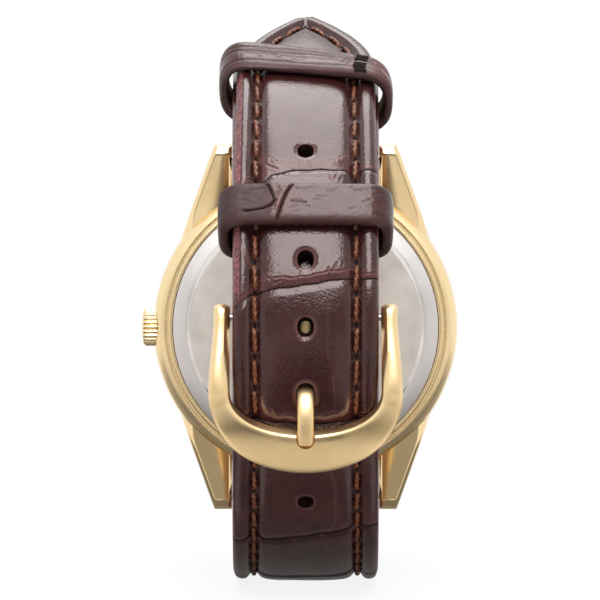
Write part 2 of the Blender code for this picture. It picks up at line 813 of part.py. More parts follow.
def frame_outlines():
    inner_half = STRAP_BUCKLE_WIDTH / 2 + STRAP_SIDE_GAP
    outer_half = inner_half + FRAME_ARM
    widest = outer_half + FRAME_BELLY
    bow = FRAME_LENGTH - FRAME_ARM_LENGTH
    arm, arc = [], []
    for distance in spread(-FRAME_END, FRAME_ARM_LENGTH, 7)[:-1]:
        belly = FRAME_BELLY * smooth(distance / FRAME_ARM_LENGTH)
        arm.append(((inner_half, distance), (outer_half + belly, distance)))
    for angle in spread(0.0, math.pi, 21):
        arc.append((
            (inner_half * math.cos(angle), FRAME_ARM_LENGTH + (bow - FRAME_BAND) * math.sin(angle)),
            (widest * math.cos(angle), FRAME_ARM_LENGTH + bow * math.sin(angle)),
        ))
    other = [((-a[0], a[1]), (-b[0], b[1])) for a, b in reversed(arm)]
    return arm + arc + other


def tongue_line():
    # middle line of the tongue as (distance from the bar, radius):
    # under the strap, up through its hole, onto the frame
    holes_on = HOLE_IN_USE - HOLE_AT_FACING
    hole = (BUCKLE_BAR_TURN + holes_on * HOLE_PITCH / LOOP_NEAR_RADIUS) * LOOP_NEAR_RADIUS
    half = TONGUE_THICKNESS / 2
    under = TAIL_INNER - TAIL_GAP - half
    over = LOOP_NEAR_RADIUS + TAIL_GAP + half
    front = FRAME_LENGTH - FRAME_BAND
    seat = frame_radius(front) + FRAME_THICKNESS / 2 - NOTCH_DEPTH + RUN_GAP + half
    eye = BAR_RADIUS + RUN_GAP * 2
    return [
        (eye * 0.6, BUCKLE_MIDDLE + eye + half * 0.4),
        (hole - HOLE_LENGTH * 0.9, under),
        (hole - HOLE_LENGTH * 0.25, under + half * 0.5),
        (hole, under + half * 2.4),
        (hole, over - half * 0.6),
        (hole + HOLE_LENGTH * 0.3, over + half * 0.5),
        (hole + HOLE_LENGTH * 0.8, over + half * 0.8),
        (front, seat),
        (front + NOTCH_DEPTH, seat - RUN_GAP * 0.5),
    ]


def tongue_outline():
    # side outline in (distance, radius): the shank's two faces, then a hook round the bar
    line = [Vector(point) for point in tongue_line()]
    half = TONGUE_THICKNESS / 2
    left, right = [], []
    for i, point in enumerate(line):
        ahead = (line[min(i + 1, len(line) - 1)] - line[max(i - 1, 0)]).normalized()
        side = Vector((-ahead.y, ahead.x)) * half
        left.append(point + side)
        right.append(point - side)
    eye = BAR_RADIUS + RUN_GAP * 2
    wall = TONGUE_THICKNESS * 0.55
    centre = Vector((0.0, BUCKLE_MIDDLE))
    inner = [centre + eye * turn(a).xy for a in spread(math.radians(60), math.radians(330), 12)]
    outer = [centre + (eye + wall) * turn(a).xy for a in spread(math.radians(330), math.radians(95), 11)]
    tip = line[-1] + (line[-1] - line[-2]).normalized() * half
    return left + [tip] + list(reversed(right)) + inner + outer


def tongue_slot():
    half = TONGUE_WIDTH / 2 + TONGUE_SLOT_GAP
    reach = FOLD_REACH * 2.6
    form = block((-half, -reach, -reach), (half, reach, reach))
    return guide("tongue_slot", form, None, buckle_bar_point())


def build_buckle():
    bar = buckle_bar_point()
    sections = [[point - bar for point in frame_section(a, b)] for a, b in frame_outlines()]
    frame = place("buckle_frame", sweep(sections), "gold", None, bar)
    inner_half = STRAP_BUCKLE_WIDTH / 2 + STRAP_SIDE_GAP
    reach = inner_half + BAR_TIP_LENGTH + RUN_GAP
    holes = guide("frame_bar_holes", rod_x(BAR_TIP_RADIUS + RUN_GAP, -reach, reach), None, bar)
    combine(frame, holes, "DIFFERENCE")
    half = TONGUE_WIDTH / 2 + RUN_GAP
    front = FRAME_LENGTH - FRAME_BAND
    low = frame_radius(front) + FRAME_THICKNESS / 2 - NOTCH_DEPTH
    sections = []
    for distance in (front - TONGUE_WIDTH, front, front + NOTCH_DEPTH + TONGUE_THICKNESS * 0.8):
        sections.append([
            buckle_map(-half, distance, low) - bar,
            buckle_map(half, distance, low) - bar,
            buckle_map(half, distance, low + FRAME_THICKNESS) - bar,
            buckle_map(-half, distance, low + FRAME_THICKNESS) - bar,
        ])
    notch = guide("tongue_notch", sweep(sections), None, bar)
    combine(frame, notch, "DIFFERENCE")
    outline = tongue_outline()
    faces = []
    for across in (-TONGUE_WIDTH / 2, TONGUE_WIDTH / 2):
        faces.append([buckle_map(across, d, r) - bar for d, r in outline])
    place("buckle_tongue", sweep(faces), "gold", None, bar)


def build_sprung_bar(name, where, half_gap):
    # a tube with two sprung tips; each tip can be pushed in by its travel
    shoulder = half_gap - STRAP_SIDE_GAP
    tube_half = shoulder - BAR_SHOULDER - BAR_TRAVEL - RUN_GAP
    tube = lathe([
        (BAR_RADIUS, tube_half), (BAR_RADIUS, -tube_half), (BAR_BORE, -tube_half), (BAR_BORE, tube_half),
    ], SMALL_STEPS)
    place(name, along_x(tube), "steel", None, where)
    rod = BAR_BORE - RUN_GAP
    inner_end = tube_half - BAR_TRAVEL * 2
    for side, sign in (("left", -1), ("right", 1)):
        profile = [
            (0.0, half_gap + BAR_TIP_LENGTH),
            (BAR_TIP_RADIUS, half_gap + BAR_TIP_LENGTH),
            (BAR_TIP_RADIUS, shoulder),
            (BAR_RADIUS, shoulder),
            (BAR_RADIUS, shoulder - BAR_SHOULDER),
            (rod, shoulder - BAR_SHOULDER),
            (rod, inner_end),
            (0.0, inner_end),
        ]
        form = along_x(lathe(profile, SMALL_STEPS, closed=False))
        if sign < 0:
            bmesh.ops.scale(form, vec=(-1, 1, 1), verts=form.verts)
        place(f"{name}_tip_{side}", form, "steel", None, where)


# Head: case, lid, bezel and crystal


def lug_sections(sign_x, sign_y):
    tip = LUG_TO_LUG / 2
    join = CASE_RADIUS - CASE_WALL * 0.6
    root = CASE_RADIUS * math.sin(math.radians(33.0))
    stations = [root + (tip - root) * share for share in (0.0, 0.28, 0.56, 0.72, 0.86, 0.95, 1.0)]
    bar_z = LUG_BAR_HEIGHT
    thick = LUG_BAR_INSET
    sections = []
    for y in stations:
        out_x = LUG_TIP_SPAN / 2 + (tip - y) * math.tan(LUG_TAPER)
        in_x = max(LUG_GAP / 2, math.sqrt(max(join * join - y * y, 0.0)))
        share = smooth((y - root) / (tip - root))
        past = max(y - (tip - thick), 0.0)
        cap = end_round(past, thick * 1.04)
        full = CASE_TOP * 0.82
        high = min(full - (full - bar_z - thick) * share, bar_z + cap + (tip - y) * 1.2)
        low = max(CASE_RIM_HEIGHT + LUG_RISE, bar_z - cap)
        bevel = min(LUG_EDGE, (out_x - in_x) * 0.2, (high - low) * 0.25)
        corners = [
            (in_x, low), (out_x - bevel, low), (out_x, low + bevel),
            (out_x, high - bevel), (out_x - bevel, high), (in_x, high),
        ]
        sections.append([Vector((sign_x * x, sign_y * y, z)) for x, z in corners])
    return sections


def case_profile():
    rim = CASE_RIM_HEIGHT
    groove_out = CASE_RADIUS - GROOVE_INSET + GROOVE_WIDTH
    groove_in = CASE_RADIUS - GROOVE_INSET
    inner = LID_RADIUS + SEAT_GAP
    return [
        (CAVITY_RADIUS - FLANGE_WIDTH, CASE_TOP),
        (CASE_RADIUS - CASE_SHOULDER_IN, CASE_TOP),
        (CASE_RADIUS - CASE_SHOULDER_IN / 3, CASE_TOP - CASE_SHOULDER * 0.4),
        (CASE_RADIUS, CASE_TOP - CASE_SHOULDER),
        (CASE_RADIUS, rim + CASE_FLANK),
        (CASE_RADIUS - EDGE_BREAK, rim + CASE_FLANK_MID),
        (CASE_RADIUS - EDGE_BREAK * 3.2, rim + CASE_FLANK_MID * 0.3),
        (groove_out, rim + SEAT_GAP),
        (groove_out, rim + GROOVE_DEPTH),
        (groove_in, rim + GROOVE_DEPTH),
        (groove_in, rim + GROOVE_DEPTH / 3),
        (groove_in - EDGE_BREAK * 0.8, rim),
        (inner, rim),
        (inner, LEDGE_Z),
        (CAVITY_RADIUS, LEDGE_Z),
        (CAVITY_RADIUS, FLANGE_Z),
        (CAVITY_RADIUS - FLANGE_WIDTH, FLANGE_Z),
    ]


def crown_start():
    return CASE_RADIUS + CROWN_PROTRUSION - CROWN_LENGTH


def tube_radius():
    return STEM_RADIUS + RUN_GAP + CROWN_TUBE_WALL


def build_case(head):
    case = place("case_middle", lathe(case_profile(), FINE_STEPS), "gold", head)
    lugs = joined([sweep(lug_sections(x, y)) for x in (-1, 1) for y in (-1, 1)])
    combine(case, guide("lug_forms", lugs, head), "UNION")
    reach = LUG_GAP / 2 + LUG_HOLE_DEPTH
    bores = []
    for sign in (-1, 1):
        bore = rod_x(BAR_TIP_RADIUS + RUN_GAP, -reach, reach)
        bores.append(moved(bore, (0, sign * LUG_BAR_Y, LUG_BAR_HEIGHT)))
    combine(case, guide("lug_bores", joined(bores), head), "DIFFERENCE")
    start = crown_start() - CROWN_RECESS_GAP
    recess = rod_x(CROWN_DIAMETER / 2 + CROWN_RECESS_GAP, start, CASE_RADIUS * 1.2, 24)
    combine(case, guide("crown_recess", moved(recess, (0, 0, CROWN_HEIGHT)), head), "DIFFERENCE")
    hole = rod_x(tube_radius() + SEAT_GAP, CAVITY_RADIUS * 0.9, CASE_RADIUS)
    combine(case, guide("crown_tube_hole", moved(hole, (0, 0, CROWN_HEIGHT)), head), "DIFFERENCE")


def build_lid(head):
    collar = CAVITY_RADIUS - RUN_GAP
    top = LID_PLATE + LID_COLLAR_HEIGHT
    profile = [
        (0.0, LID_PLATE),
        (collar - LID_COLLAR_WALL, LID_PLATE),
        (collar - LID_COLLAR_WALL, top),
        (collar, top),
        (collar, LID_PLATE),
        (LID_RADIUS, LID_PLATE),
        (LID_RADIUS, LID_EDGE_DROP),
        (LID_FLAT_RADIUS + LID_SHOULDER, LID_SHOULDER_DROP),
        (LID_FLAT_RADIUS, 0.0),
        (0.0, 0.0),
    ]
    place("case_back", lathe(profile, FINE_STEPS, closed=False), "steel", head)
    inner = CAVITY_RADIUS + (LID_LEDGE_WIDTH - GASKET_WIDTH) / 2
    seal = ring(inner, inner + GASKET_WIDTH, LID_PLATE + SEAT_GAP, LEDGE_Z - SEAT_GAP)
    place("case_back_gasket", seal, "rubber", head)


def build_front(head):
    crystal = CAVITY_RADIUS - FLANGE_WIDTH * 0.3
    seal_out = crystal + SEAT_GAP + CRYSTAL_GASKET_WIDTH
    bezel_in = seal_out + SEAT_GAP
    low = CASE_TOP + SEAT_GAP
    high = CASE_TOP + BEZEL_HEIGHT
    bezel_out = bezel_in + BEZEL_WIDTH
    place("bezel", lathe([
        (bezel_in + BEZEL_WIDTH * 0.2, high),
        (bezel_in + BEZEL_WIDTH * 0.62, high - EDGE_BREAK * 0.6),
        (bezel_out - EDGE_BREAK * 0.6, low + EDGE_BREAK * 2),
        (bezel_out, low),
        (bezel_in, low),
        (bezel_in, high - EDGE_BREAK * 0.8),
    ], FINE_STEPS), "gold", head)
    edge = EDGE_BREAK
    top = CRYSTAL_Z + CRYSTAL_THICKNESS
    place("crystal", lathe([
        (0.0, top), (crystal - edge, top), (crystal, top - edge), (crystal, CRYSTAL_Z), (0.0, CRYSTAL_Z),
    ], FINE_STEPS, closed=False), "glass", head)
    seal = ring(crystal + SEAT_GAP, seal_out, low, high - EDGE_BREAK, FINE_STEPS)
    place("crystal_gasket", seal, "rubber", head)
    outer = DIAL_RADIUS
    place("dial_ring", lathe([
        (outer, FLANGE_Z - SEAT_GAP),
        (outer, DIAL_TOP + SEAT_GAP),
        (outer - DIAL_RING_WIDTH, DIAL_TOP + SEAT_GAP),
        (outer - DIAL_RING_WIDTH * 0.55, FLANGE_Z - SEAT_GAP),
    ]), "gold", head)
    hub = tube_bores()["dial"]
    dial = place("dial", ring(hub, DIAL_RADIUS, DIAL_Z, DIAL_TOP), "dial", head)
    markers = []
    outside = DIAL_RADIUS - DIAL_RING_WIDTH - RUN_GAP * 6
    for i in range(MARKER_COUNT):
        bar = block(
            (-MARKER_WIDTH / 2, outside - MARKER_LENGTH, DIAL_TOP - DIAL_THICKNESS / 2),
            (MARKER_WIDTH / 2, outside, DIAL_TOP + MARKER_HEIGHT),
        )
        spun = Matrix.Rotation(math.tau * i / MARKER_COUNT, 4, "Z")
        bmesh.ops.transform(bar, matrix=spun, verts=bar.verts)
        markers.append(bar)
    combine(dial, guide("marker_forms", joined(markers), head), "UNION")


# Crown, stem and setting parts


def fluted(radius, depth, count):
    points = []
    for i in range(count * 2):
        reach = radius if i % 2 == 0 else radius - depth
        points.append(tuple((reach * turn(math.tau * i / (count * 2))).xy))
    return points


def stem_level(form):
    return moved(form, (0, 0, CROWN_HEIGHT))


def build_crown(head):
    start = crown_start()
    end = start + CROWN_LENGTH
    bore = tube_radius() + GASKET_WIDTH + SEAT_GAP * 2
    depth = CROWN_TUBE_REACH + RUN_GAP * 2
    cap = CROWN_EDGE
    outline = fluted(CROWN_DIAMETER / 2, CROWN_FLUTE_DEPTH, CROWN_FLUTES)
    small = CROWN_DIAMETER / 2 - CROWN_FLUTE_DEPTH * 2
    rows = []
    for station, share in ((start, 0.92), (start + cap, 1.0), (end - cap * 1.4, 1.0)):
        rows.append([Vector((x * share, y * share, station)) for x, y in outline])
    for station, share in ((end - cap * 0.5, 0.97), (end, 0.72)):
        rows.append([Vector((*(turn(math.atan2(y, x)) * small * share).xy, station)) for x, y in outline])
    crown = place("crown", stem_level(along_x(sweep(rows))), "gold", head)
    hollow = stem_level(rod_x(bore, start - depth, start + depth, 24))
    combine(crown, guide("crown_hollow", hollow, head), "DIFFERENCE")
    tube_start = CAVITY_RADIUS - TUBE_INSET
    tube = ring(STEM_RADIUS + RUN_GAP, tube_radius(), tube_start, start + CROWN_TUBE_REACH, SMALL_STEPS)
    place("crown_tube", stem_level(along_x(tube)), "steel", head)
    seal_start = start + SEAL_WIDTH / 2
    seal = ring(tube_radius() + SEAT_GAP, bore - SEAT_GAP, seal_start, seal_start + SEAL_WIDTH, SMALL_STEPS)
    place("crown_gasket", stem_level(along_x(seal)), "rubber", head)
    groove = STEM_GROOVE_WIDTH / 2
    neck = STEM_RADIUS * 0.45
    profile = [
        (0.0, start + depth - SEAT_GAP),
        (STEM_RADIUS, start + depth - SEAT_GAP),
        (STEM_RADIUS, LEVER_STATION + groove),
        (neck, LEVER_STATION + groove),
        (neck, LEVER_STATION - groove),
        (STEM_RADIUS, LEVER_STATION - groove),
        (STEM_RADIUS, STEM_INNER_END),
        (0.0, STEM_INNER_END),
    ]
    place("stem", stem_level(along_x(lathe(profile, SMALL_STEPS, closed=False))), "steel", head)
    sleeve_end = STEM_INNER_END + PINION_LENGTH
    sleeve = ring(STEM_RADIUS + SEAT_GAP, PINION_RADIUS, STEM_INNER_END, sleeve_end, SMALL_STEPS)
    place("sliding_pinion", stem_level(along_x(sleeve)), "steel", head)
    low = CROWN_HEIGHT - STEM_RADIUS - RUN_GAP - LEVER_THICKNESS
    high = low + LEVER_THICKNESS
    pivot = (LEVER_STATION, LEVER_ARM, 0.0)
    wide = LEVER_HALF_WIDTH
    far = LEVER_ARM + LEVER_PIN_RADIUS * 2
    outline = [(-wide * 1.6, wide), (-wide, -far), (wide, -far), (wide * 1.6, wide)]
    lever = place("setting_lever", prism(outline, low, high), "steel", head, pivot)
    pin_top = CROWN_HEIGHT - STEM_RADIUS * 0.65
    pin = moved(disc(LEVER_PIN_RADIUS, low + LEVER_THICKNESS / 2, pin_top, 10), (0, -LEVER_ARM, 0))
    combine(lever, guide("lever_pin", pin, head, pivot), "UNION")
    post = disc(PILLAR_RADIUS * 0.6, low + LEVER_THICKNESS / 2, PLATE_Z - RUN_GAP, SMALL_STEPS)
    combine(lever, guide("lever_post", post, head, pivot), "UNION")


# Movement


def tube_bores():
    # nested sleeves at the centre: seconds arbor, minute sleeve, hour sleeve
    second = ARBOR_RADIUS * 1.5
    minute_in = second + RUN_GAP * 0.7
    minute_out = minute_in + SLEEVE_WALL * 0.85
    hour_in = minute_out + RUN_GAP * 0.7
    hour_out = hour_in + SLEEVE_WALL
    return {
        "second": second, "minute_in": minute_in, "minute_out": minute_out,
        "hour_in": hour_in, "hour_out": hour_out, "dial": hour_out + RUN_GAP,
    }


def gear_outline(teeth, module, phase):
    pitch = math.tau / teeth
    radius = teeth * module / 2
    points = []
    for i in range(teeth):
        middle = phase + i * pitch
        for share, reach in ((-0.14, 0.85), (0.14, 0.85), (0.5, -1.1)):
            points.append(tuple(((radius + module * reach) * turn(middle + share * pitch)).xy))
    return points


def mesh_phase(phase, teeth, other_teeth, direction):
    # tooth angle of a gear that meshes with another whose teeth stand at phase, seen along direction
    share = ((direction - phase) * teeth / math.tau) % 1.0
    return direction + math.pi + (share + 0.5) * math.tau / other_teeth


def axle_places():
    third = turn(THIRD_ANGLE) * THIRD_DISTANCE
    fifth = turn(FIFTH_ANGLE) * FIFTH_DISTANCE
    return {
        "centre": Vector((0, 0, 0)),
        "third": third,
        "fifth": fifth,
        "rotor": fifth + turn(ROTOR_ANGLE) * ROTOR_DISTANCE,
        "minute": Vector((MINUTE_DISTANCE, 0, 0)),
    }


def stacked(name, finish, base, additions, head, where):
    thing = place(name, base, finish, head, where)
    for i, form in enumerate(additions):
        combine(thing, guide(f"{name}_form_{i}", form, head, where), "UNION")
    return thing


def train_levels():
    step = PINION_HEIGHT + RUN_GAP
    fourth = TRAIN_Z + RUN_GAP * 2
    third = fourth + step
    centre = third + step + RUN_GAP
    return fourth, third, centre


def build_train(head):
    axles = axle_places()
    bores = tube_bores()
    fourth_z, third_z, centre_z = train_levels()
    low, high = TRAIN_Z - BRIDGE_THICKNESS / 2, PLATE_Z + PLATE_THICKNESS / 3
    inset = (PINION_HEIGHT - WHEEL_THICKNESS) / 2
    lap = RUN_GAP / 4

    fifth_module = 2 * FIFTH_DISTANCE / (FIFTH_PINION + FOURTH_TEETH)
    third_module = 2 * THIRD_DISTANCE / (FOURTH_PINION + THIRD_TEETH)
    centre_module = 2 * THIRD_DISTANCE / (THIRD_PINION + CENTRE_TEETH)
    rotor_module = 2 * ROTOR_DISTANCE / (ROTOR_PINION + FIFTH_TEETH)
    minute_module = 2 * MINUTE_DISTANCE / (CANNON_PINION + MINUTE_TEETH)
    hour_module = 2 * MINUTE_DISTANCE / (MINUTE_PINION + HOUR_TEETH)

    def wheel(teeth, module, phase, z):
        return prism(gear_outline(teeth, module, phase), z + inset, z + inset + WHEEL_THICKNESS)

    def pinion(teeth, module, phase, z, height=PINION_HEIGHT):
        return prism(gear_outline(teeth, module, phase), z, z + height)

    fourth_wheel_phase = mesh_phase(0.0, FIFTH_PINION, FOURTH_TEETH, FIFTH_ANGLE + math.pi)
    stacked("fourth_wheel", "brass", wheel(FOURTH_TEETH, fifth_module, fourth_wheel_phase, fourth_z), [
        pinion(FOURTH_PINION, third_module, 0.0, third_z - RUN_GAP - inset, PINION_HEIGHT + inset),
        disc(bores["second"], low, SECOND_HAND_Z + HAND_THICKNESS * 2, SMALL_STEPS),
        disc(ARBOR_RADIUS * 3, fourth_z + inset + lap, third_z + lap, SMALL_STEPS),
    ], head, axles["centre"])

    third_phase = mesh_phase(0.0, FOURTH_PINION, THIRD_TEETH, THIRD_ANGLE)
    stacked("third_wheel", "brass", wheel(THIRD_TEETH, third_module, third_phase, third_z), [
        pinion(THIRD_PINION, centre_module, 0.0, centre_z - RUN_GAP - inset, PINION_HEIGHT + inset),
        disc(ARBOR_RADIUS, low, high, SMALL_STEPS),
        disc(ARBOR_RADIUS * 3, third_z + inset + lap, centre_z + lap, SMALL_STEPS),
    ], head, axles["third"])

    centre_phase = mesh_phase(0.0, THIRD_PINION, CENTRE_TEETH, THIRD_ANGLE + math.pi)
    centre = stacked("centre_wheel", "brass", wheel(CENTRE_TEETH, centre_module, centre_phase, centre_z), [
        disc(bores["minute_out"], centre_z + inset - lap, MINUTE_HAND_Z + HAND_THICKNESS * 1.5, SMALL_STEPS),
        pinion(CANNON_PINION, minute_module, 0.0, PLATE_TOP + RUN_GAP / 2, PINION_HEIGHT * 0.75),
    ], head, axles["centre"])
    bore_top = MINUTE_HAND_Z + HAND_THICKNESS * 3
    bore = disc(bores["minute_in"], centre_z - PINION_HEIGHT, bore_top, SMALL_STEPS)
    combine(centre, guide("centre_bore", bore, head), "DIFFERENCE")

    fifth_phase = mesh_phase(0.0, ROTOR_PINION, FIFTH_TEETH, ROTOR_ANGLE + math.pi)
    stacked("fifth_wheel", "plastic", wheel(FIFTH_TEETH, rotor_module, fifth_phase, third_z), [
        pinion(FIFTH_PINION, fifth_module, 0.0, fourth_z - RUN_GAP),
        disc(ARBOR_RADIUS, low, high, SMALL_STEPS),
        disc(ARBOR_RADIUS * 3, fourth_z + lap, third_z + inset + lap, SMALL_STEPS),
    ], head, axles["fifth"])

    magnet_low = third_z + PINION_HEIGHT + RUN_GAP
    magnet_high = PLATE_Z - RUN_GAP * 2
    stacked("motor_rotor", "steel", disc(ROTOR_MAGNET_RADIUS, magnet_low, magnet_high, SMALL_STEPS), [
        disc(ARBOR_RADIUS, low, high, SMALL_STEPS),
        pinion(ROTOR_PINION, rotor_module, 0.0, third_z - RUN_GAP, PINION_HEIGHT + RUN_GAP * 3),
    ], head, axles["rotor"])

    cannon_z = PLATE_TOP + RUN_GAP
    minute_phase = mesh_phase(0.0, CANNON_PINION, MINUTE_TEETH, 0.0)
    wheel_low = cannon_z - RUN_GAP / 4
    minute_form = prism(
        gear_outline(MINUTE_TEETH, minute_module, minute_phase), wheel_low, wheel_low + WHEEL_THICKNESS * 0.8
    )
    pinion_top = DIAL_Z - RUN_GAP
    stacked("minute_wheel", "brass", minute_form, [
        disc(ARBOR_RADIUS, high - RUN_GAP, pinion_top - lap, SMALL_STEPS),
        pinion(MINUTE_PINION, hour_module, 0.0, wheel_low + lap, pinion_top - wheel_low - lap),
    ], head, axles["minute"])

    hour_phase = mesh_phase(0.0, MINUTE_PINION, HOUR_TEETH, math.pi)
    hour_low = pinion_top - WHEEL_THICKNESS * 0.9
    hour = stacked("hour_wheel", "brass", prism(
        gear_outline(HOUR_TEETH, hour_module, hour_phase), hour_low, pinion_top - lap
    ), [
        disc(bores["hour_out"], hour_low + lap, HOUR_HAND_Z + HAND_THICKNESS * 1.5, SMALL_STEPS),
    ], head, axles["centre"])
    bore = disc(bores["hour_in"], hour_low - PINION_HEIGHT, HOUR_HAND_Z + HAND_THICKNESS * 3, SMALL_STEPS)
    combine(hour, guide("hour_bore", bore, head), "DIFFERENCE")

    setting_radius = SETTING_TEETH * minute_module / 2
    setting_x = MINUTE_DISTANCE + MINUTE_TEETH * minute_module / 2 + setting_radius
    setting_phase = mesh_phase(minute_phase, MINUTE_TEETH, SETTING_TEETH, 0.0)
    setting_teeth = gear_outline(SETTING_TEETH, minute_module, setting_phase)
    stacked("setting_wheel", "steel", prism(
        setting_teeth, wheel_low, wheel_low + WHEEL_THICKNESS * 0.8
    ), [
        disc(ARBOR_RADIUS, high - RUN_GAP, wheel_low + lap, SMALL_STEPS),
    ], head, Vector((setting_x, 0, 0)))
    return setting_x


def hull(points):
    points = sorted(set(points))

    def half(run):
        chain = []
        for p in run:
            while len(chain) > 1:
                a, b = chain[-2], chain[-1]
                if (b[0] - a[0]) * (p[1] - a[1]) - (b[1] - a[1]) * (p[0] - a[0]) > 0:
                    break
                chain.pop()
            chain.append(p)
        return chain[:-1]

    return half(points) + half(points[::-1])


def pillar_places():
    reach = THIRD_DISTANCE + FIFTH_DISTANCE
    return [
        turn(math.radians(165.0)) * reach * 0.93,
        turn(math.radians(60.0)) * reach * 0.76,
        turn(math.radians(283.0)) * reach * 0.61,
    ]


def build_plates(head, setting_x):
    axles = axle_places()
    bores = tube_bores()
    plate_ring = ring(bores["minute_out"] + RUN_GAP, PLATE_RADIUS, PLATE_Z, PLATE_TOP)
    plate = place("main_plate", plate_ring, "brass", head)
    pivots = [axles[name] for name in ("third", "fifth", "rotor", "minute")] + [Vector((setting_x, 0, 0))]
    hole = ARBOR_RADIUS + RUN_GAP / 2
    drilled = [moved(disc(hole, PLATE_Z - CUT_REACH, PLATE_TOP + CUT_REACH, 10), p) for p in pivots]
    combine(plate, guide("plate_pivots", joined(drilled), head), "DIFFERENCE")
    slot_half = PINION_RADIUS + RUN_GAP * 2
    slot = block(
        (STEM_INNER_END - RUN_GAP * 2, -slot_half, PLATE_Z - PLATE_THICKNESS),
        (PLATE_RADIUS * 1.2, slot_half, CROWN_HEIGHT + PINION_RADIUS + RUN_GAP),
    )
    combine(plate, guide("stem_slot", slot, head), "DIFFERENCE")

    pillars = pillar_places()
    rim = PILLAR_RADIUS * 1.6
    outline = []
    for spot in [axles[n] for n in ("centre", "third", "fifth", "rotor")] + pillars:
        for i in range(10):
            point = spot + turn(math.tau * i / 10) * rim
            outline.append((round(point.x, 7), round(point.y, 7)))
    bridge = place("train_bridge", prism(hull(outline), BRIDGE_Z, TRAIN_Z), "steel", head)
    post_low = TRAIN_Z - BRIDGE_THICKNESS / 2
    posts = [moved(disc(PILLAR_RADIUS, post_low, PLATE_Z - SEAT_GAP, SMALL_STEPS), p) for p in pillars]
    combine(bridge, guide("bridge_pillars", joined(posts), head), "UNION")
    wide = bores["second"] + RUN_GAP / 2
    drilled = [moved(disc(wide, BRIDGE_Z - CUT_REACH, TRAIN_Z + CUT_REACH / 5, 10), axles["centre"])]
    for name in ("third", "fifth", "rotor"):
        drilled.append(moved(disc(hole, BRIDGE_Z - CUT_REACH, TRAIN_Z + CUT_REACH / 5, 10), axles[name]))
    combine(bridge, guide("bridge_pivots", joined(drilled), head), "DIFFERENCE")

    holder_top = DIAL_Z - SEAT_GAP
    holder_ring = ring(PLATE_RADIUS + RUN_GAP, HOLDER_RADIUS, HOLDER_Z, holder_top)
    holder = place("movement_holder", holder_ring, "plastic", head)
    gap = tube_radius() + RUN_GAP * 2
    cut = block((PLATE_RADIUS * 0.8, -gap, HOLDER_Z - CUT_REACH), (CASE_RADIUS, gap, CROWN_HEIGHT + gap))
    combine(holder, guide("holder_slot", cut, head), "DIFFERENCE")


def build_power(head):
    rotor = axle_places()["rotor"]
    _, third_z, _ = train_levels()
    cell = turn(BATTERY_ANGLE) * BATTERY_DISTANCE
    top = PLATE_Z - SEAT_GAP
    low = top - BATTERY_THICKNESS
    radius = BATTERY_DIAMETER / 2
    bevel = EDGE_BREAK
    place("battery_cell", lathe([
        (0.0, top), (radius, top), (radius, low + bevel * 2), (radius - bevel, low + bevel * 2),
        (radius - bevel * 2, low), (0.0, low),
    ], ROUND_STEPS, closed=False), "steel", head, cell)
    strip = STRIP_THICKNESS
    strip_low = low - RUN_GAP / 2 - strip
    strip_high = low - RUN_GAP / 2
    long = radius * 1.1
    spring = block((-long, -STRIP_HALF_WIDTH, strip_low), (long, STRIP_HALF_WIDTH, strip_high))
    clamp = place("battery_clamp", spring, "steel", head, cell)
    leg = block(
        (radius + RUN_GAP * 2, -STRIP_HALF_WIDTH, strip_low),
        (radius * 1.1, STRIP_HALF_WIDTH, PLATE_Z - SEAT_GAP),
    )
    combine(clamp, guide("clamp_leg", leg, head, cell), "UNION")

    stator_z = third_z + PINION_HEIGHT + RUN_GAP * 3
    eye = ROTOR_MAGNET_RADIUS + RUN_GAP * 2
    side = COIL_LENGTH / 2 + STATOR_FOOT * 0.6
    foot = STATOR_FOOT
    reach = COIL_RADIUS + STATOR_FOOT * 2.4
    wide = eye + STATOR_RIM
    outline = [
        (-wide, wide), (wide, wide), (wide, -wide),
        (side, -wide - STATOR_RIM), (side + foot, -wide - STATOR_RIM),
        (side + foot, -reach - foot), (side, -reach - foot),
        (side, -wide - STATOR_RIM * 2), (-side, -wide - STATOR_RIM * 2),
        (-side, -reach - foot), (-side - foot, -reach - foot), (-side - foot, -wide - STATOR_RIM),
        (-side, -wide - STATOR_RIM), (-wide, -wide),
    ]
    stator_plate = prism(outline, stator_z, stator_z + STATOR_THICKNESS)
    stator = place("motor_stator", stator_plate, "steel", head, rotor)
    hole = disc(eye, stator_z - CUT_REACH, stator_z + CUT_REACH, 24)
    combine(stator, guide("stator_eye", hole, head, rotor), "DIFFERENCE")
    core_top = stator_z - RUN_GAP
    core = block((-side - foot, -reach - foot, core_top - CORE_THICKNESS), (side + foot, -reach, core_top))
    coil = place("motor_coil", core, "copper", head, rotor)
    middle = core_top - CORE_THICKNESS / 2
    turns = rod_x(COIL_RADIUS * 0.9, -COIL_LENGTH / 2, COIL_LENGTH / 2, 20)
    winding = moved(turns, (0, -reach - foot / 2, middle))
    combine(coil, guide("coil_winding", winding, head, rotor), "UNION")

    middle_r = PLATE_RADIUS * 0.76
    can_z = PLATE_Z - QUARTZ_RADIUS - RUN_GAP
    can = disc(QUARTZ_RADIUS, -QUARTZ_LENGTH / 2, QUARTZ_LENGTH / 2, SMALL_STEPS)
    bmesh.ops.transform(can, matrix=Matrix.Rotation(math.pi / 2, 4, "X"), verts=can.verts)
    place("quartz_oscillator", can, "steel", head, (-middle_r, 0, can_z))
    board_top = BRIDGE_Z - RUN_GAP / 2
    arc = spread(math.radians(150.0), math.radians(222.0), 12)
    inner, outer = PLATE_RADIUS * 0.62, PLATE_RADIUS - RUN_GAP * 2
    sector = [tuple((turn(a) * outer).xy) for a in arc]
    sector += [tuple((turn(a) * inner).xy) for a in reversed(arc)]
    place("circuit_board", prism(sector, board_top - BOARD_THICKNESS, board_top), "board", head)


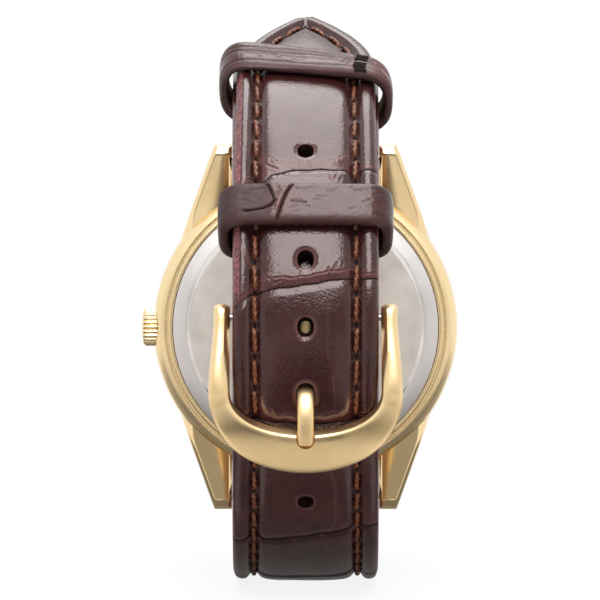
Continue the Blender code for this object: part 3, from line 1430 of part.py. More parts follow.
def hand_outline(length, width, hub):
    tail = hub * 2.2
    return [
        (-width * 0.35, -tail), (width * 0.35, -tail), (width * 0.5, hub), (width * 0.12, length),
        (-width * 0.12, length), (-width * 0.5, hub),
    ]


def build_hands(head):
    bores = tube_bores()
    for name, length, width, level, bore in (
        ("hour_hand", HOUR_HAND_LENGTH, HAND_WIDTH * 1.2, HOUR_HAND_Z, bores["hour_out"]),
        ("minute_hand", MINUTE_HAND_LENGTH, HAND_WIDTH, MINUTE_HAND_Z, bores["minute_out"]),
        ("second_hand", SECOND_HAND_LENGTH, HAND_WIDTH * 0.35, SECOND_HAND_Z, bores["second"]),
    ):
        hub = bore + RUN_GAP * 0.5 + HAND_HUB_WALL
        top = level + HAND_THICKNESS
        blade = prism(hand_outline(length, width, hub), level, top)
        hand = place(name, disc(hub, level, top, 20), "gold", head)
        lap = HAND_THICKNESS * 0.1
        foot = Matrix.Translation((0, 0, -level - lap))
        bmesh.ops.scale(blade, vec=(1, 1, 0.8), verts=blade.verts, space=foot)
        combine(hand, guide(f"{name}_blade", blade, head), "UNION")
        hole = disc(bore + RUN_GAP * 0.5, level - CUT_REACH, top + CUT_REACH, SMALL_STEPS)
        combine(hand, guide(f"{name}_hole", hole, head), "DIFFERENCE")


def build():
    clear_scene()
    head = bpy.data.objects.new("head", None)
    bpy.context.scene.collection.objects.link(head)
    head.location = (0.0, HEAD_Y, 0.0)
    head.rotation_euler = (math.pi / 2, 0.0, math.pi)
    build_case(head)
    build_lid(head)
    build_front(head)
    build_crown(head)
    setting_x = build_train(head)
    build_plates(head, setting_x)
    build_power(head)
    build_hands(head)
    build_straps()
    build_keepers()
    build_buckle()
    build_sprung_bar("spring_bar_12", BAR_12, LUG_GAP / 2)
    build_sprung_bar("spring_bar_6", BAR_6, LUG_GAP / 2)
    build_sprung_bar("buckle_bar", buckle_bar_point(), STRAP_BUCKLE_WIDTH / 2 + STRAP_SIDE_GAP)


build()
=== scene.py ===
# Buckled wristwatch: stitched leather strap, tang buckle, gold case and steel lid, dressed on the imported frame.
import json
import math

import bmesh
import bpy
import numpy as np
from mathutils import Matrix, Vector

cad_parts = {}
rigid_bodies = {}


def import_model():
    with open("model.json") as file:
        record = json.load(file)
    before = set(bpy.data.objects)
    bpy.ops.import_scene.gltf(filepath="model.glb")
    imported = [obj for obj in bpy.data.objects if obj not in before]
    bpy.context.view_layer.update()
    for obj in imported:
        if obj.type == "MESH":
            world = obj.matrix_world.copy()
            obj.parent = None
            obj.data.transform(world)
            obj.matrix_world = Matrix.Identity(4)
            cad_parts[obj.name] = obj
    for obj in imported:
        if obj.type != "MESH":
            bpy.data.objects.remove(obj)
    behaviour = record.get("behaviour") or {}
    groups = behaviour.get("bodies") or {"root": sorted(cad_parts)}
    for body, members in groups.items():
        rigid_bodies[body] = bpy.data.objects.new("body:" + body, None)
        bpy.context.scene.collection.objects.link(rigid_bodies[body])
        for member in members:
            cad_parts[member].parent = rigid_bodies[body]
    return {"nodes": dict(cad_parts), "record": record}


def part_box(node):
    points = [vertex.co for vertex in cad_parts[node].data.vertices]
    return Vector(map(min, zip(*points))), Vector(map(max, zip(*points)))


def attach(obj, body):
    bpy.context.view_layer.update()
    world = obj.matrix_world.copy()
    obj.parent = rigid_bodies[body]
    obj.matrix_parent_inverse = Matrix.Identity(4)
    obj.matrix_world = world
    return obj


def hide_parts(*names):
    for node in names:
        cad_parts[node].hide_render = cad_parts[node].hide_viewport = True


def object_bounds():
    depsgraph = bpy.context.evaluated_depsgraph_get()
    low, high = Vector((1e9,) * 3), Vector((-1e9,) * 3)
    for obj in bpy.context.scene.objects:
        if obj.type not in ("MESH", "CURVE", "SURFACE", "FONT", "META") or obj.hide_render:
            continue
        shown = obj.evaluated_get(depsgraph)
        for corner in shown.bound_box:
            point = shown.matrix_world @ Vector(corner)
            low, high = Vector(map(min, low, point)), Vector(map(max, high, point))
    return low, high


for old in list(bpy.data.objects):
    bpy.data.objects.remove(old, do_unlink=True)
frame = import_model()
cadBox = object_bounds()
scene = bpy.context.scene
mm = 0.001  # every size below is in millimetres
print("frame loaded with", len(frame["nodes"]), "nodes")


# shader helpers: a socket, a number or a colour may stand for any input

def feed(tree, node, inputs):
    for key, value in dict(inputs).items():
        socket = node.inputs[key]
        if hasattr(value, "is_linked"):
            tree.links.new(value, socket)
        elif hasattr(value, "__len__"):
            socket.default_value = (*value, 1.0)
        else:
            socket.default_value = value


def addNode(tree, kind, inputs=(), **settings):
    node = tree.nodes.new(kind)
    for label, value in settings.items():
        setattr(node, label, value)
    feed(tree, node, inputs)
    return node


def mixColour(tree, share, first, second):
    return addNode(tree, "ShaderNodeMix", {0: share, 6: first, 7: second}, data_type="RGBA").outputs[2]


def reckon(tree, operation, *values):
    return addNode(tree, "ShaderNodeMath", dict(enumerate(values)), operation=operation).outputs[0]


def stretch(tree, value, low, high, start=0.0, end=1.0):
    return addNode(tree, "ShaderNodeMapRange", dict(enumerate((value, low, high, start, end)))).outputs[0]


def noise(tree, where, scale, detail=2.0, rough=0.5):
    inputs = {"Vector": where, "Scale": scale, "Detail": detail, "Roughness": rough}
    return addNode(tree, "ShaderNodeTexNoise", inputs).outputs[0]


def bumped(tree, height, strength, reach):
    inputs = {"Strength": strength, "Distance": reach * mm, "Height": height}
    return addNode(tree, "ShaderNodeBump", inputs).outputs[0]


def ownPlace(tree):
    return addNode(tree, "ShaderNodeTexCoord").outputs["Object"]


def pieceMask(tree, name):
    return addNode(tree, "ShaderNodeAttribute", attribute_name=name).outputs["Fac"]


def useGroup(tree, group, **values):
    return addNode(tree, "ShaderNodeGroup", values, node_tree=group).outputs


def startGroup(name, inputs, outputs):
    group = bpy.data.node_groups.new(name, "ShaderNodeTree")
    for label, value in inputs.items():
        socket = group.interface.new_socket(name=label, in_out="INPUT", socket_type="NodeSocketFloat")
        socket.default_value = value
    for label in outputs:
        group.interface.new_socket(name=label, in_out="OUTPUT", socket_type="NodeSocketFloat")
    return group, group.nodes.new("NodeGroupInput").outputs, group.nodes.new("NodeGroupOutput"), ownPlace(group)


# pebbled hide: slow colour cloud, fine pores, uneven gloss
grainScales = {"cloud": 260.0, "pores": 4200.0, "gloss": 1500.0}
hideGrain, given, result, where = startGroup("hideGrain", {"Scale": 1.0}, ("Cloud", "Pores", "Gloss"))
cloudScale, poreScale, glossScale = (
    reckon(hideGrain, "MULTIPLY", given["Scale"], scale) for scale in grainScales.values()
)
pores = addNode(hideGrain, "ShaderNodeTexVoronoi", {"Vector": where, "Scale": poreScale}, feature="SMOOTH_F1")
feed(hideGrain, result, {
    "Cloud": stretch(hideGrain, noise(hideGrain, where, cloudScale, 6.0, 0.72), 0.34, 0.68),
    "Pores": reckon(hideGrain, "ADD", pores.outputs["Distance"], noise(hideGrain, where, poreScale)),
    "Gloss": noise(hideGrain, where, glossScale, 3.0, 0.6),
})

# handled metal: soft smudges and faint hairlines that run along one way
handledScales = {"smudge": 300.0, "hairline": 700.0}
handled, given, result, where = startGroup("handledMetal", {"Scale": 1.0, "Grain": 40.0}, ("Smudge", "Hairline"))
smudge = noise(handled, where, reckon(handled, "MULTIPLY", given["Scale"], handledScales["smudge"]), 4.0, 0.6)
apart = addNode(handled, "ShaderNodeSeparateXYZ", {0: where}).outputs
drawn = {0: reckon(handled, "MULTIPLY", apart[0], given["Grain"]), 1: apart[1], 2: apart[2]}
along = addNode(handled, "ShaderNodeCombineXYZ", drawn).outputs[0]
feed(handled, result, {
    "Smudge": stretch(handled, smudge, 0.35, 0.7),
    "Hairline": noise(handled, along, handledScales["hairline"], 3.0, 0.7),
})

# fibre fleck: raw cut edges, lining and thread
fibreScales = {"fleck": 2400.0, "fuzz": 6800.0}
fleck, given, result, where = startGroup("fibreFleck", {"Scale": 1.0}, ("Fleck", "Fuzz"))
fleckScale, fuzzScale = (reckon(fleck, "MULTIPLY", given["Scale"], scale) for scale in fibreScales.values())
feed(fleck, result, {
    "Fleck": stretch(fleck, noise(fleck, where, fleckScale, 3.0, 0.7), 0.38, 0.66),
    "Fuzz": noise(fleck, where, fuzzScale, 2.0, 0.6),
})
print("shader groups made")


def newMaterial(name):
    material = bpy.data.materials.new(name)
    material.use_nodes = True
    tree = material.node_tree
    return material, tree, tree.nodes["Principled BSDF"]


# crease is a lighter red painted on the scales' lips and bands as their highlight; groove is a near-black painted as
# shade in lines, pits, channels and folds
hideLook = {
    "dark": (0.022, 0.0058, 0.0056), "light": (0.046, 0.0125, 0.0115), "crease": (0.150, 0.042, 0.042),
    "groove": (0.006, 0.0035, 0.0036), "tint": (1.0, 0.89, 0.87), "roughLow": 0.12, "roughHigh": 0.23,
    "specular": 0.60, "pores": 0.42, "creaseTone": 0.8, "creaseRough": 0.12, "grooveRough": 0.62,
}


def makeHide(name, look):
    material, tree, shader = newMaterial(name)
    grain = useGroup(tree, hideGrain, Scale=1.0)
    crease, groove = pieceMask(tree, "crease"), pieceMask(tree, "groove")
    base = mixColour(tree, grain["Cloud"], look["dark"], look["light"])
    # painted highlight from the crease mask, then painted shade from the groove mask
    paintedHighlight = mixColour(tree, reckon(tree, "MULTIPLY", crease, look["creaseTone"]), base, look["crease"])
    rough = stretch(tree, grain["Gloss"], 0.3, 0.7, look["roughLow"], look["roughHigh"])
    rough = reckon(tree, "MULTIPLY_ADD", crease, look["creaseRough"], rough)
    feed(tree, shader, {
        "Base Color": mixColour(tree, groove, paintedHighlight, look["groove"]),
        "Roughness": reckon(tree, "MULTIPLY_ADD", groove, look["grooveRough"], rough),
        "Specular IOR Level": look["specular"], "Specular Tint": look["tint"],
        "Normal": bumped(tree, grain["Pores"], look["pores"], 0.05),
    })
    return material


# colour mask, gloss mask with its range, and bump mask with its reach, for each kind of plain surface
surfaces = {
    "fibre": (fleck, "Fleck", "Fuzz", (0.2, 0.8), "Fuzz", 0.08),
    "metal": (handled, "Smudge", "Smudge", (0.0, 1.0), "Hairline", 0.02),
    "moulding": (hideGrain, "Cloud", "Gloss", (0.3, 0.7), "Pores", 0.02),
}


def makeSurface(name, kind, scales, dark, light, rough, bump, **others):
    group, tone, gloss, spread, relief, reach = surfaces[kind]
    material, tree, shader = newMaterial(name)
    marks = useGroup(tree, group, **scales)
    feed(tree, shader, {
        "Base Color": mixColour(tree, marks[tone], dark, light),
        "Roughness": stretch(tree, marks[gloss], *spread, *rough),
        "Normal": bumped(tree, marks[relief], bump, reach), **others,
    })
    return material


def makeFlecked(name, dark, light, rough, sheen, scale, depth, specular=0.5):
    others = {"Sheen Weight": sheen, "Specular IOR Level": specular}
    return makeSurface(name, "fibre", {"Scale": scale}, dark, light, (rough - 0.1, rough + 0.1), depth, **others)


def makeMetal(name, base, worn, rough, scale=1.0, grain=1.0, line=0.02):
    scales = {"Scale": scale, "Grain": grain}
    return makeSurface(name, "metal", scales, base, worn, (rough * 0.8, rough * 1.25), line, Metallic=1.0)


def makeMoulded(name, dark, light, rough):
    return makeSurface(name, "moulding", {"Scale": 1.0}, dark, light, (rough - 0.08, rough + 0.08), 0.08)


def makeGlass(name):
    material, tree, shader = newMaterial(name)
    touch = useGroup(tree, handled, Scale=0.6, Grain=1.0)
    feed(tree, shader, {
        "Base Color": (0.96, 0.98, 0.98), "Transmission Weight": 1.0, "IOR": 1.5,
        "Roughness": stretch(tree, touch["Smudge"], 0.0, 1.0, 0.01, 0.05),
    })
    return material


def makeDial(name):
    # fine rays from the centre under a silvered lacquer
    material, tree, shader = newMaterial(name)
    apart = addNode(tree, "ShaderNodeSeparateXYZ", {0: ownPlace(tree)}).outputs
    rays = {"W": reckon(tree, "ARCTAN2", apart[2], apart[0]), "Scale": 60.0, "Detail": 4.0}
    ray = addNode(tree, "ShaderNodeTexNoise", rays, noise_dimensions="1D").outputs[0]
    feed(tree, shader, {
        "Base Color": mixColour(tree, ray, (0.66, 0.63, 0.56), (0.84, 0.81, 0.74)), "Metallic": 0.35,
        "Roughness": stretch(tree, ray, 0.2, 0.8, 0.26, 0.40), "Normal": bumped(tree, ray, 0.05, 0.02),
    })
    return material


hide = makeHide("glossyEmbossedHide", hideLook)
keeperHide = makeHide("keeperHide", {**hideLook, "roughLow": 0.16, "roughHigh": 0.28, "specular": 0.47})
# a duller copy of the hide, painted shade on the darkest folds and grooves and on the turned-under flap
shadedFoldHide = makeHide("shadedFoldedHide", {**hideLook, "roughLow": 0.50, "roughHigh": 0.62, "specular": 0.20})
# near-black, barely glossy hole walls: painted shade inside the punched holes
shadedHoleWall = makeFlecked("shadedHoleWall", (0.006, 0.002, 0.002), (0.022, 0.007, 0.006), 0.8, 0.0, 1.0, 0.3, 0.08)
paintedEdge = makeFlecked("paintedEdge", (0.012, 0.005, 0.005), (0.050, 0.016, 0.015), 0.42, 0.0, 0.8, 0.15)
cutEdge = makeFlecked("rawCutEdge", (0.040, 0.009, 0.011), (0.330, 0.105, 0.110), 0.5, 0.0, 0.9, 0.45)
liningTan = makeFlecked("tanLining", (0.40, 0.225, 0.105), (0.56, 0.345, 0.180), 0.62, 0.15, 0.7, 0.25)
waxThread = makeFlecked("waxedThread", (0.030, 0.006, 0.002), (0.270, 0.068, 0.010), 0.36, 0.0, 2.6, 0.35)
satinGold = makeMetal("satinGold", (0.93, 0.71, 0.39), (0.89, 0.665, 0.35), 0.35, 0.8)
tongueGold = makeMetal("tongueGold", (0.93, 0.71, 0.39), (0.89, 0.665, 0.35), 0.47, 0.8)
polishedGold = makeMetal("polishedGold", (0.94, 0.73, 0.41), (0.90, 0.68, 0.365), 0.13, 0.8)
ringGold = makeMetal("softRingGold", (0.95, 0.76, 0.45), (0.92, 0.72, 0.41), 0.28, 0.8)
lugGold = makeMetal("lugGold", (0.95, 0.74, 0.42), (0.91, 0.69, 0.38), 0.09, 0.8)
# three copies of one steel: the rim tinted cooler as painted reflection, the chamfer paler as painted highlight; their
# roughness differs too
lidSteel = makeMetal("satinLidSteel", (0.765, 0.72, 0.668), (0.725, 0.685, 0.637), 0.42, 0.7)
lidRimSteel = makeMetal("rimSteelPaintedReflection", (0.76, 0.73, 0.72), (0.72, 0.69, 0.685), 0.34, 0.7)
lidStepSteel = makeMetal("polishedStepSteelPaintedHighlight", (0.82, 0.79, 0.76), (0.78, 0.75, 0.72), 0.15, 0.7)
slotLooks = {
    "gold": polishedGold,
    "steel": makeMetal("turnedSteel", (0.56, 0.55, 0.53), (0.47, 0.46, 0.45), 0.24, 1.0, 30.0, 0.04),
    "bright_can": makeMetal("brightCan", (0.70, 0.69, 0.67), (0.62, 0.61, 0.60), 0.20, 1.0, 1.0, 0.03),
    "brass": makeMetal("rolledBrass", (0.72, 0.50, 0.20), (0.60, 0.40, 0.16), 0.28, 1.2, 25.0, 0.05),
    "white_plastic": makeMoulded("whiteMoulding", (0.70, 0.69, 0.65), (0.80, 0.79, 0.75), 0.45),
    "board": makeMoulded("lacqueredBoard", (0.020, 0.110, 0.050), (0.040, 0.180, 0.085), 0.40),
    "winding": makeMetal("copperWinding", (0.66, 0.27, 0.13), (0.50, 0.19, 0.09), 0.32, 1.5, 60.0, 0.3),
    "seal": makeMoulded("blackSeal", (0.012, 0.012, 0.012), (0.028, 0.028, 0.027), 0.60),
    "glass": makeGlass("crystalGlass"),
    "dial": makeDial("rayedDial"),
}
print("materials made")


# mesh helpers: a form is a pair of points, in millimetres, and faces

def newMesh(name, points, faces, unit=mm):
    mesh = bpy.data.meshes.new(name)
    mesh.from_pydata((np.asarray(points, float) * unit).tolist(), [], [list(face) for face in faces])
    return mesh


def faceOutwards(mesh):
    form = bmesh.new()
    form.from_mesh(mesh)
    bmesh.ops.recalc_face_normals(form, faces=form.faces)
    form.to_mesh(mesh)
    form.free()


def addObject(name, data):
    thing = bpy.data.objects.new(name, data)
    scene.collection.objects.link(thing)
    return thing


def addMask(mesh, label, values):
    mesh.attributes.new(label, "FLOAT", "POINT").data.foreach_set("value", np.asarray(values, np.float32))


def sharpen(mesh, degrees):
    mesh.set_sharp_from_angle(angle=math.radians(degrees))


def makePiece(name, form, looks, body, replaced, masks=(), lookOf=None, sharp=None):
    mesh = newMesh(name, *form)
    for look in looks:
        mesh.materials.append(look)
    if lookOf is not None:
        mesh.polygons.foreach_set("material_index", np.asarray(lookOf, np.int32))
    for label, values in dict(masks).items():
        addMask(mesh, label, values)
    faceOutwards(mesh)
    mesh.shade_smooth()
    if sharp is not None:
        sharpen(mesh, sharp)
    piece = addObject(name, mesh)
    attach(piece, body)
    if replaced:
        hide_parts(*replaced)
    return piece


def gridFaces(rows, columns, closedRows=False, closedColumns=False):
    index = np.arange(rows * columns).reshape(rows, columns)
    if closedRows:
        index = np.vstack((index, index[:1]))
    if closedColumns:
        index = np.hstack((index, index[:, :1]))
    a, b, c, d = index[:-1, :-1], index[:-1, 1:], index[1:, 1:], index[1:, :-1]
    return np.stack((a, b, c, d), -1).reshape(-1, 4)


def lofted(rings):
    # a closed form through rings of equal count, with a flat cap at each end
    grid = np.array(rings)
    rows, columns = grid.shape[:2]
    last = (rows - 1) * columns
    caps = [list(range(columns)), list(range(last, last + columns))]
    return grid.reshape(-1, 3), gridFaces(rows, columns, False, True).tolist() + caps


def joined(forms):
    points, faces, base = [], [], 0
    for block, loops in forms:
        points.append(block)
        faces += [[base + corner for corner in loop] for loop in loops]
        base += len(block)
    return np.vstack(points), faces


def smooth(value):
    value = np.clip(value, 0.0, 1.0)
    return value * value * (3 - 2 * value)


def bell(off, wide):
    return np.exp(-(off / wide) ** 2)


def runAlong(line):
    # distance from the start to each point of a line
    return np.concatenate(([0.0], np.cumsum(np.linalg.norm(np.diff(line, axis=0), axis=1))))


def curveThrough(xs, ys, at):
    # cubic through the points, its slopes held so that it never overshoots
    xs, ys = np.asarray(xs, float), np.asarray(ys, float)
    gaps = np.diff(xs)
    rise = np.diff(ys) / gaps
    slope = np.zeros_like(ys)
    same = rise[:-1] * rise[1:] > 0
    slope[1:-1][same] = 2 * rise[:-1][same] * rise[1:][same] / (rise[:-1] + rise[1:])[same]
    slope[0], slope[-1] = rise[0], rise[-1]
    i = np.clip(np.searchsorted(xs, at) - 1, 0, len(gaps) - 1)
    t = (at - xs[i]) / gaps[i]
    return (
        ys[i] * (1 + 2 * t) * (1 - t) ** 2 + slope[i] * gaps[i] * t * (1 - t) ** 2
        + ys[i + 1] * t * t * (3 - 2 * t) + slope[i + 1] * gaps[i] * t * t * (t - 1)
    )


def filleted(outline, radius, steps=4, closed=True):
    # rounds each corner of a flat outline; a short edge limits its own corner
    points = [np.asarray(point, float) for point in outline]
    count = len(points)
    made = []
    for i, corner in enumerate(points):
        if not closed and i in (0, count - 1):
            made.append(corner)
            continue
        before, after = points[i - 1] - corner, points[(i + 1) % count] - corner
        reach = min(radius, np.linalg.norm(before) * 0.45, np.linalg.norm(after) * 0.45)
        start = corner + before / np.linalg.norm(before) * reach
        end = corner + after / np.linalg.norm(after) * reach
        for t in np.linspace(0, 1, steps + 1):
            made.append(start * (1 - t) ** 2 + corner * 2 * t * (1 - t) + end * t * t)
    return np.array(made)


def circled(steps):
    return np.linspace(0, math.tau, steps, endpoint=False)


headDepth = 24.4  # outer face of the lid, behind the middle of the loop


def inHead(form):
    # head frame (x to 3 o'clock, y to 12, z from lid to crystal) into the shared frame
    x, y, z = np.asarray(form[0], float).T
    return np.stack((-x, headDepth + z, y), -1), form[1]


def turned(profile, steps):
    angle = circled(steps)[:, None]
    rim, level = profile[None, :, 0], profile[None, :, 1]
    level = np.broadcast_to(level, (steps, len(profile)))
    points = np.stack((rim * np.cos(angle), rim * np.sin(angle), level), -1).reshape(-1, 3)
    return points, gridFaces(steps, len(profile), True, True)


def cutWith(piece, name, form):
    # takes a hidden form out of a piece, then drops the form
    mesh = newMesh(name, *form)
    faceOutwards(mesh)
    tool = addObject(name, mesh)
    change = piece.modifiers.new("cut", "BOOLEAN")
    change.operation, change.solver, change.object = "DIFFERENCE", "EXACT", tool
    bpy.context.view_layer.update()
    done = bpy.data.meshes.new_from_object(piece.evaluated_get(bpy.context.evaluated_depsgraph_get()))
    piece.modifiers.clear()
    piece.data = done
    bpy.data.objects.remove(tool, do_unlink=True)


# strap route, the same arcs as the part: angles count from the buckle side, up is positive

loop = {
    "near": 25.0, "top": 64.0, "bottom": 41.0, "topTurn": 38.0, "bottomTurn": 42.0, "tailLift": 60.5,
    "tail": 12.9, "barDepth": 26.5, "barHeight": 21.4, "holeThick": 2.4, "buckleThick": 2.7, "lugThick": 3.4,
    "tailGap": 0.25, "barTurn": 3.0,
}


def outward(angle):
    return np.stack((-np.cos(angle), np.sin(angle)), -1)


def onward(angle):
    return np.stack((np.sin(angle), np.cos(angle)), -1)


def arcTo(start, angle, target):
    normal = outward(angle)
    chord = target - start
    radius = -chord.dot(chord) / (2 * chord.dot(normal))
    centre = start - normal * radius
    last = math.atan2(*(target - centre)[::-1] * (1, -1))
    if abs(last - angle) > math.pi:
        last -= math.copysign(math.tau, last - angle)
    return centre, radius, last


topTurn, bottomTurn, tailLift = (math.radians(loop[key]) for key in ("topTurn", "bottomTurn", "tailLift"))
middle = np.zeros(2)
topCentre = outward(topTurn) * (loop["near"] - loop["top"])
bottomCentre = outward(-bottomTurn) * (loop["near"] - loop["bottom"])
holeMiddle = loop["near"] - loop["holeThick"] / 2
buckleMiddle = loop["near"] - loop["holeThick"] - loop["tailGap"] - loop["buckleThick"] / 2
bar12 = np.array((loop["barDepth"], loop["barHeight"]))
bar6 = np.array((loop["barDepth"], -loop["barHeight"]))
bottomRadius = loop["bottom"] - loop["holeThick"] / 2
lugArc = arcTo(bottomCentre + outward(-math.pi / 2) * bottomRadius, -math.pi / 2, bar6)
holeRoute = [
    (lugArc[0], lugArc[1], lugArc[2], -math.pi / 2),
    (bottomCentre, bottomRadius, -math.pi / 2, -bottomTurn),
    (middle, holeMiddle, -bottomTurn, topTurn),
    (topCentre, loop["top"] - loop["holeThick"] / 2, topTurn, tailLift),
]
topRadius = loop["top"] - loop["near"] + buckleMiddle
lugArc = arcTo(topCentre + outward(tailLift) * topRadius, tailLift, bar12)
buckleRoute = [
    (middle, buckleMiddle, math.radians(loop["barTurn"]), topTurn),
    (topCentre, topRadius, topTurn, tailLift),
    (lugArc[0], lugArc[1], tailLift, lugArc[2]),
]


def routeLength(route):
    return sum(radius * (last - first) for _, radius, first, last in route)


def routeAt(route, distance):
    distance = np.asarray(distance, float)
    point, angle = np.zeros(distance.shape + (2,)), np.zeros(distance.shape)
    start = 0.0
    for i, (centre, radius, first, last) in enumerate(route):
        length = radius * (last - first)
        here = (distance >= start) | (i == 0)
        held = np.clip(distance - start, 0.0, length)
        turn = first + held / radius
        spot = centre + outward(turn) * radius + onward(turn) * (distance - start - held)[..., None]
        point[here], angle[here] = spot[here], turn[here]
        start += length
    return point, angle


def overRoute(route, distance, across, up, ahead):
    # rows of points at each distance: place across the strap, height over the route, reach along it
    point, angle = routeAt(route, distance)
    yz = point[:, None] + outward(angle)[:, None] * up[..., None] + onward(angle)[:, None] * ahead[..., None]
    return np.concatenate((across[..., None], yz), -1)


facing = routeLength(holeRoute[:2]) + holeMiddle * bottomTurn
holeLength = routeLength(holeRoute) + loop["tail"]
buckleLength = routeLength(buckleRoute)
print(f"hole strap {holeLength:.1f} mm, buckle strap {buckleLength:.1f} mm")

strapForm = {
    "lugWidth": 18.0, "buckleWidth": 16.0, "taper": 60.0, "tip": 13.5, "tipRound": 0.9, "tipBow": 0.88,
    "lining": 0.9, "stitchIn": 2.45, "flap": 7.5, "step": 0.17, "fineStep": 0.07, "padMost": 1.3,
    # section: distance in from the edge, and drop below the crown of the pad
    "section": (
        (0.0, 1.02), (0.10, 0.72), (0.30, 0.40), (0.62, 0.24), (1.05, 0.17), (1.45, 0.22), (1.78, 0.42),
        (2.08, 0.72), (2.45, 0.84), (2.80, 0.76), (3.08, 0.52), (3.40, 0.32), (3.9, 0.18), (4.6, 0.09),
        (5.6, 0.04), (9.2, 0.0),
    ),
    # mesh lines of the margin, in from the edge
    "inward": (
        0.0, 0.05, 0.12, 0.22, 0.36, 0.54, 0.75, 0.96, 1.17, 1.38, 1.56, 1.72, 1.88, 2.02, 2.16, 2.30, 2.45,
        2.60, 2.74, 2.88, 3.02, 3.18, 3.36, 3.6,
    ),
}
buckleEven = routeLength(buckleRoute[:2])


def holeHalf(distance):
    narrow = (strapForm["lugWidth"] - strapForm["buckleWidth"]) / 2
    half = strapForm["lugWidth"] / 2 - narrow * np.clip(distance / strapForm["taper"], 0.0, 1.0)
    share = np.clip((holeLength - distance) / strapForm["tip"], 0.0, 1.0)
    bowed = np.sin(share * math.pi / 2) ** strapForm["tipBow"]
    return strapForm["tipRound"] + (half - strapForm["tipRound"]) * bowed


def holeThick(distance):
    return loop["lugThick"] + (loop["holeThick"] - loop["lugThick"]) * smooth(distance / strapForm["taper"])


def buckleHalf(distance):
    share = np.clip(distance / buckleLength, 0.0, 1.0)
    return (strapForm["buckleWidth"] + (strapForm["lugWidth"] - strapForm["buckleWidth"]) * share) / 2


def buckleThick(distance):
    share = smooth((distance - buckleEven) / (buckleLength - buckleEven))
    return loop["buckleThick"] + (loop["lugThick"] - loop["buckleThick"]) * share


def padShare(thick):
    return np.minimum(strapForm["padMost"], thick / loop["holeThick"])  # the pad stands higher on thick leather


# embossed scales: each valley has a crease line, and above it the lip of the next scale
# places are across the strap, and along it from the point that faces the buckle side

def fromFacing(line):
    return [(x, facing + s) for x, s in line]


holeValleys = [{**valley, "line": fromFacing(valley["line"])} for valley in (
    {"line": [(-9, -55.0), (0, -56.2), (9, -55.4)], "deep": 0.20,
     "lip": [(-5, 1.6), (-3, 1.0), (3, 0.9), (5, 1.7)]},
    {"line": [(-9, -43.4), (-3, -42.3), (9, -41.0)], "deep": 0.22,
     "lip": [(-5, 1.8), (-3, 1.1), (3, 1.0), (5, 1.6)]},
    {"line": [(-8.6, -30.0), (-6.7, -29.3), (-5.6, -29.2), (-4.7, -29.7), (-0.9, -28.6), (4.7, -27.3), (5.8, -26.9),
              (8.6, -26.0)], "lip": [(-5, 1.2), (0, 0.8), (5, 1.0)], "deep": 0.26, "mark": 0.24, "highlightShare": 0.35},
    {"line": [(-9, -10.2), (-5, -10.3), (0, -10.7), (5, -10.4), (9, -10.0)],
     "lip": [(-5.3, 2.6), (-5.0, 1.9), (-4.3, 1.1), (-3.2, 0.75), (0, 0.8), (3.1, 0.85), (3.9, 1.1), (4.6, 1.6),
             (4.9, 2.5)], "deep": 0.25},
    {"line": [(-8.2, 1.6), (-7.4, 2.2), (-6.3, 3.2), (-5.2, 3.6), (-4.0, 3.9), (0, 4.4), (4.0, 5.1), (8.2, 5.1)],
     "lip": [(-5, 1.4), (-4.4, 1.25), (-0.2, 0.85), (1.6, 1.0), (4.4, 0.9), (5, 1.2)], "deep": 0.27},
    {"line": [(-8.2, 16.0), (-4.6, 17.2), (-3.8, 17.9), (-1.7, 18.5), (1.7, 18.7), (8.2, 18.7)],
     "lip": [(-5.4, 6.0), (-4.6, 3.4), (-3.1, 1.7), (-0.4, 0.9), (2.5, 1.1), (4.6, 2.2), (5.2, 4.2)], "deep": 0.24},
    {"line": [(-8.2, 38.4), (0, 38.0), (8.2, 38.8)], "lip": [(-5, 1.8), (0, 0.9), (5, 1.6)], "deep": 0.2},
)]
holeWrinkles = [(strength, fromFacing(line)) for strength, line in (
    (0.25, [(2.45, 2.8), (2.40, -1.2), (2.5, -3.0)]),
    (0.25, [(3.15, -5.0), (3.25, -7.0), (3.2, -9.4)]),
    (0.5, [(2.85, -16.7), (3.3, -19.2), (3.35, -24.7), (3.1, -26.4), (2.4, -26.9)]),
    (0.4, [(2.4, -29.7), (2.4, -37.2), (2.9, -44.0)]),
    (0.7, [(-7.85, -22.1), (-6.9, -24.8)]),
    (1.0, [(-7.25, 9.4), (-6.04, 6.4)]),
    (1.0, [(2.8, 5.7), (3.5, 6.8)]),
    (0.9, [(-4.6, 5.6), (-3.4, 4.6), (-2.6, 4.9)]),
    (1.0, [(-5.2, 21.5), (-4.3, 19.4), (-3.2, 18.8)]),
    (0.9, [(2.6, 18.2), (2.9, 17.0)]),
    (0.9, [(3.7, 18.4), (3.1, 16.8)]),
    (0.7, [(-2.4, 17.6), (-1.2, 17.4), (0.2, 17.7), (1.4, 17.4)]),
    (0.8, [(1.8, 22.6), (2.6, 22.2), (3.1, 22.6)]),
    (0.9, [(-5.1, 26.0), (-5.3, 21.0)]),
    (0.8, [(4.9, 27.0), (5.2, 22.0)]),
)]
buckleValleys = [
    {"line": [(-9, at - slope), (0, at), (9, at + slope)], "deep": 0.22,
     "lip": [(-5, 1.7), (-3, 1.0), (3, 0.9), (5, 1.6)]}
    for at, slope in ((9.0, 0.9), (22.0, -1.1), (35.5, 0.5), (48.5, -0.4), (61.0, 0.9))
]


def nearLine(x, s, line):
    best = np.full(x.shape, 1e9)
    for (x0, s0), (x1, s1) in zip(line, line[1:]):
        run = (x1 - x0) ** 2 + (s1 - s0) ** 2
        t = np.clip(((x - x0) * (x1 - x0) + (s - s0) * (s1 - s0)) / run, 0.0, 1.0)
        best = np.minimum(best, np.hypot(x - x0 - t * (x1 - x0), s - s0 - t * (s1 - s0)))
    return best


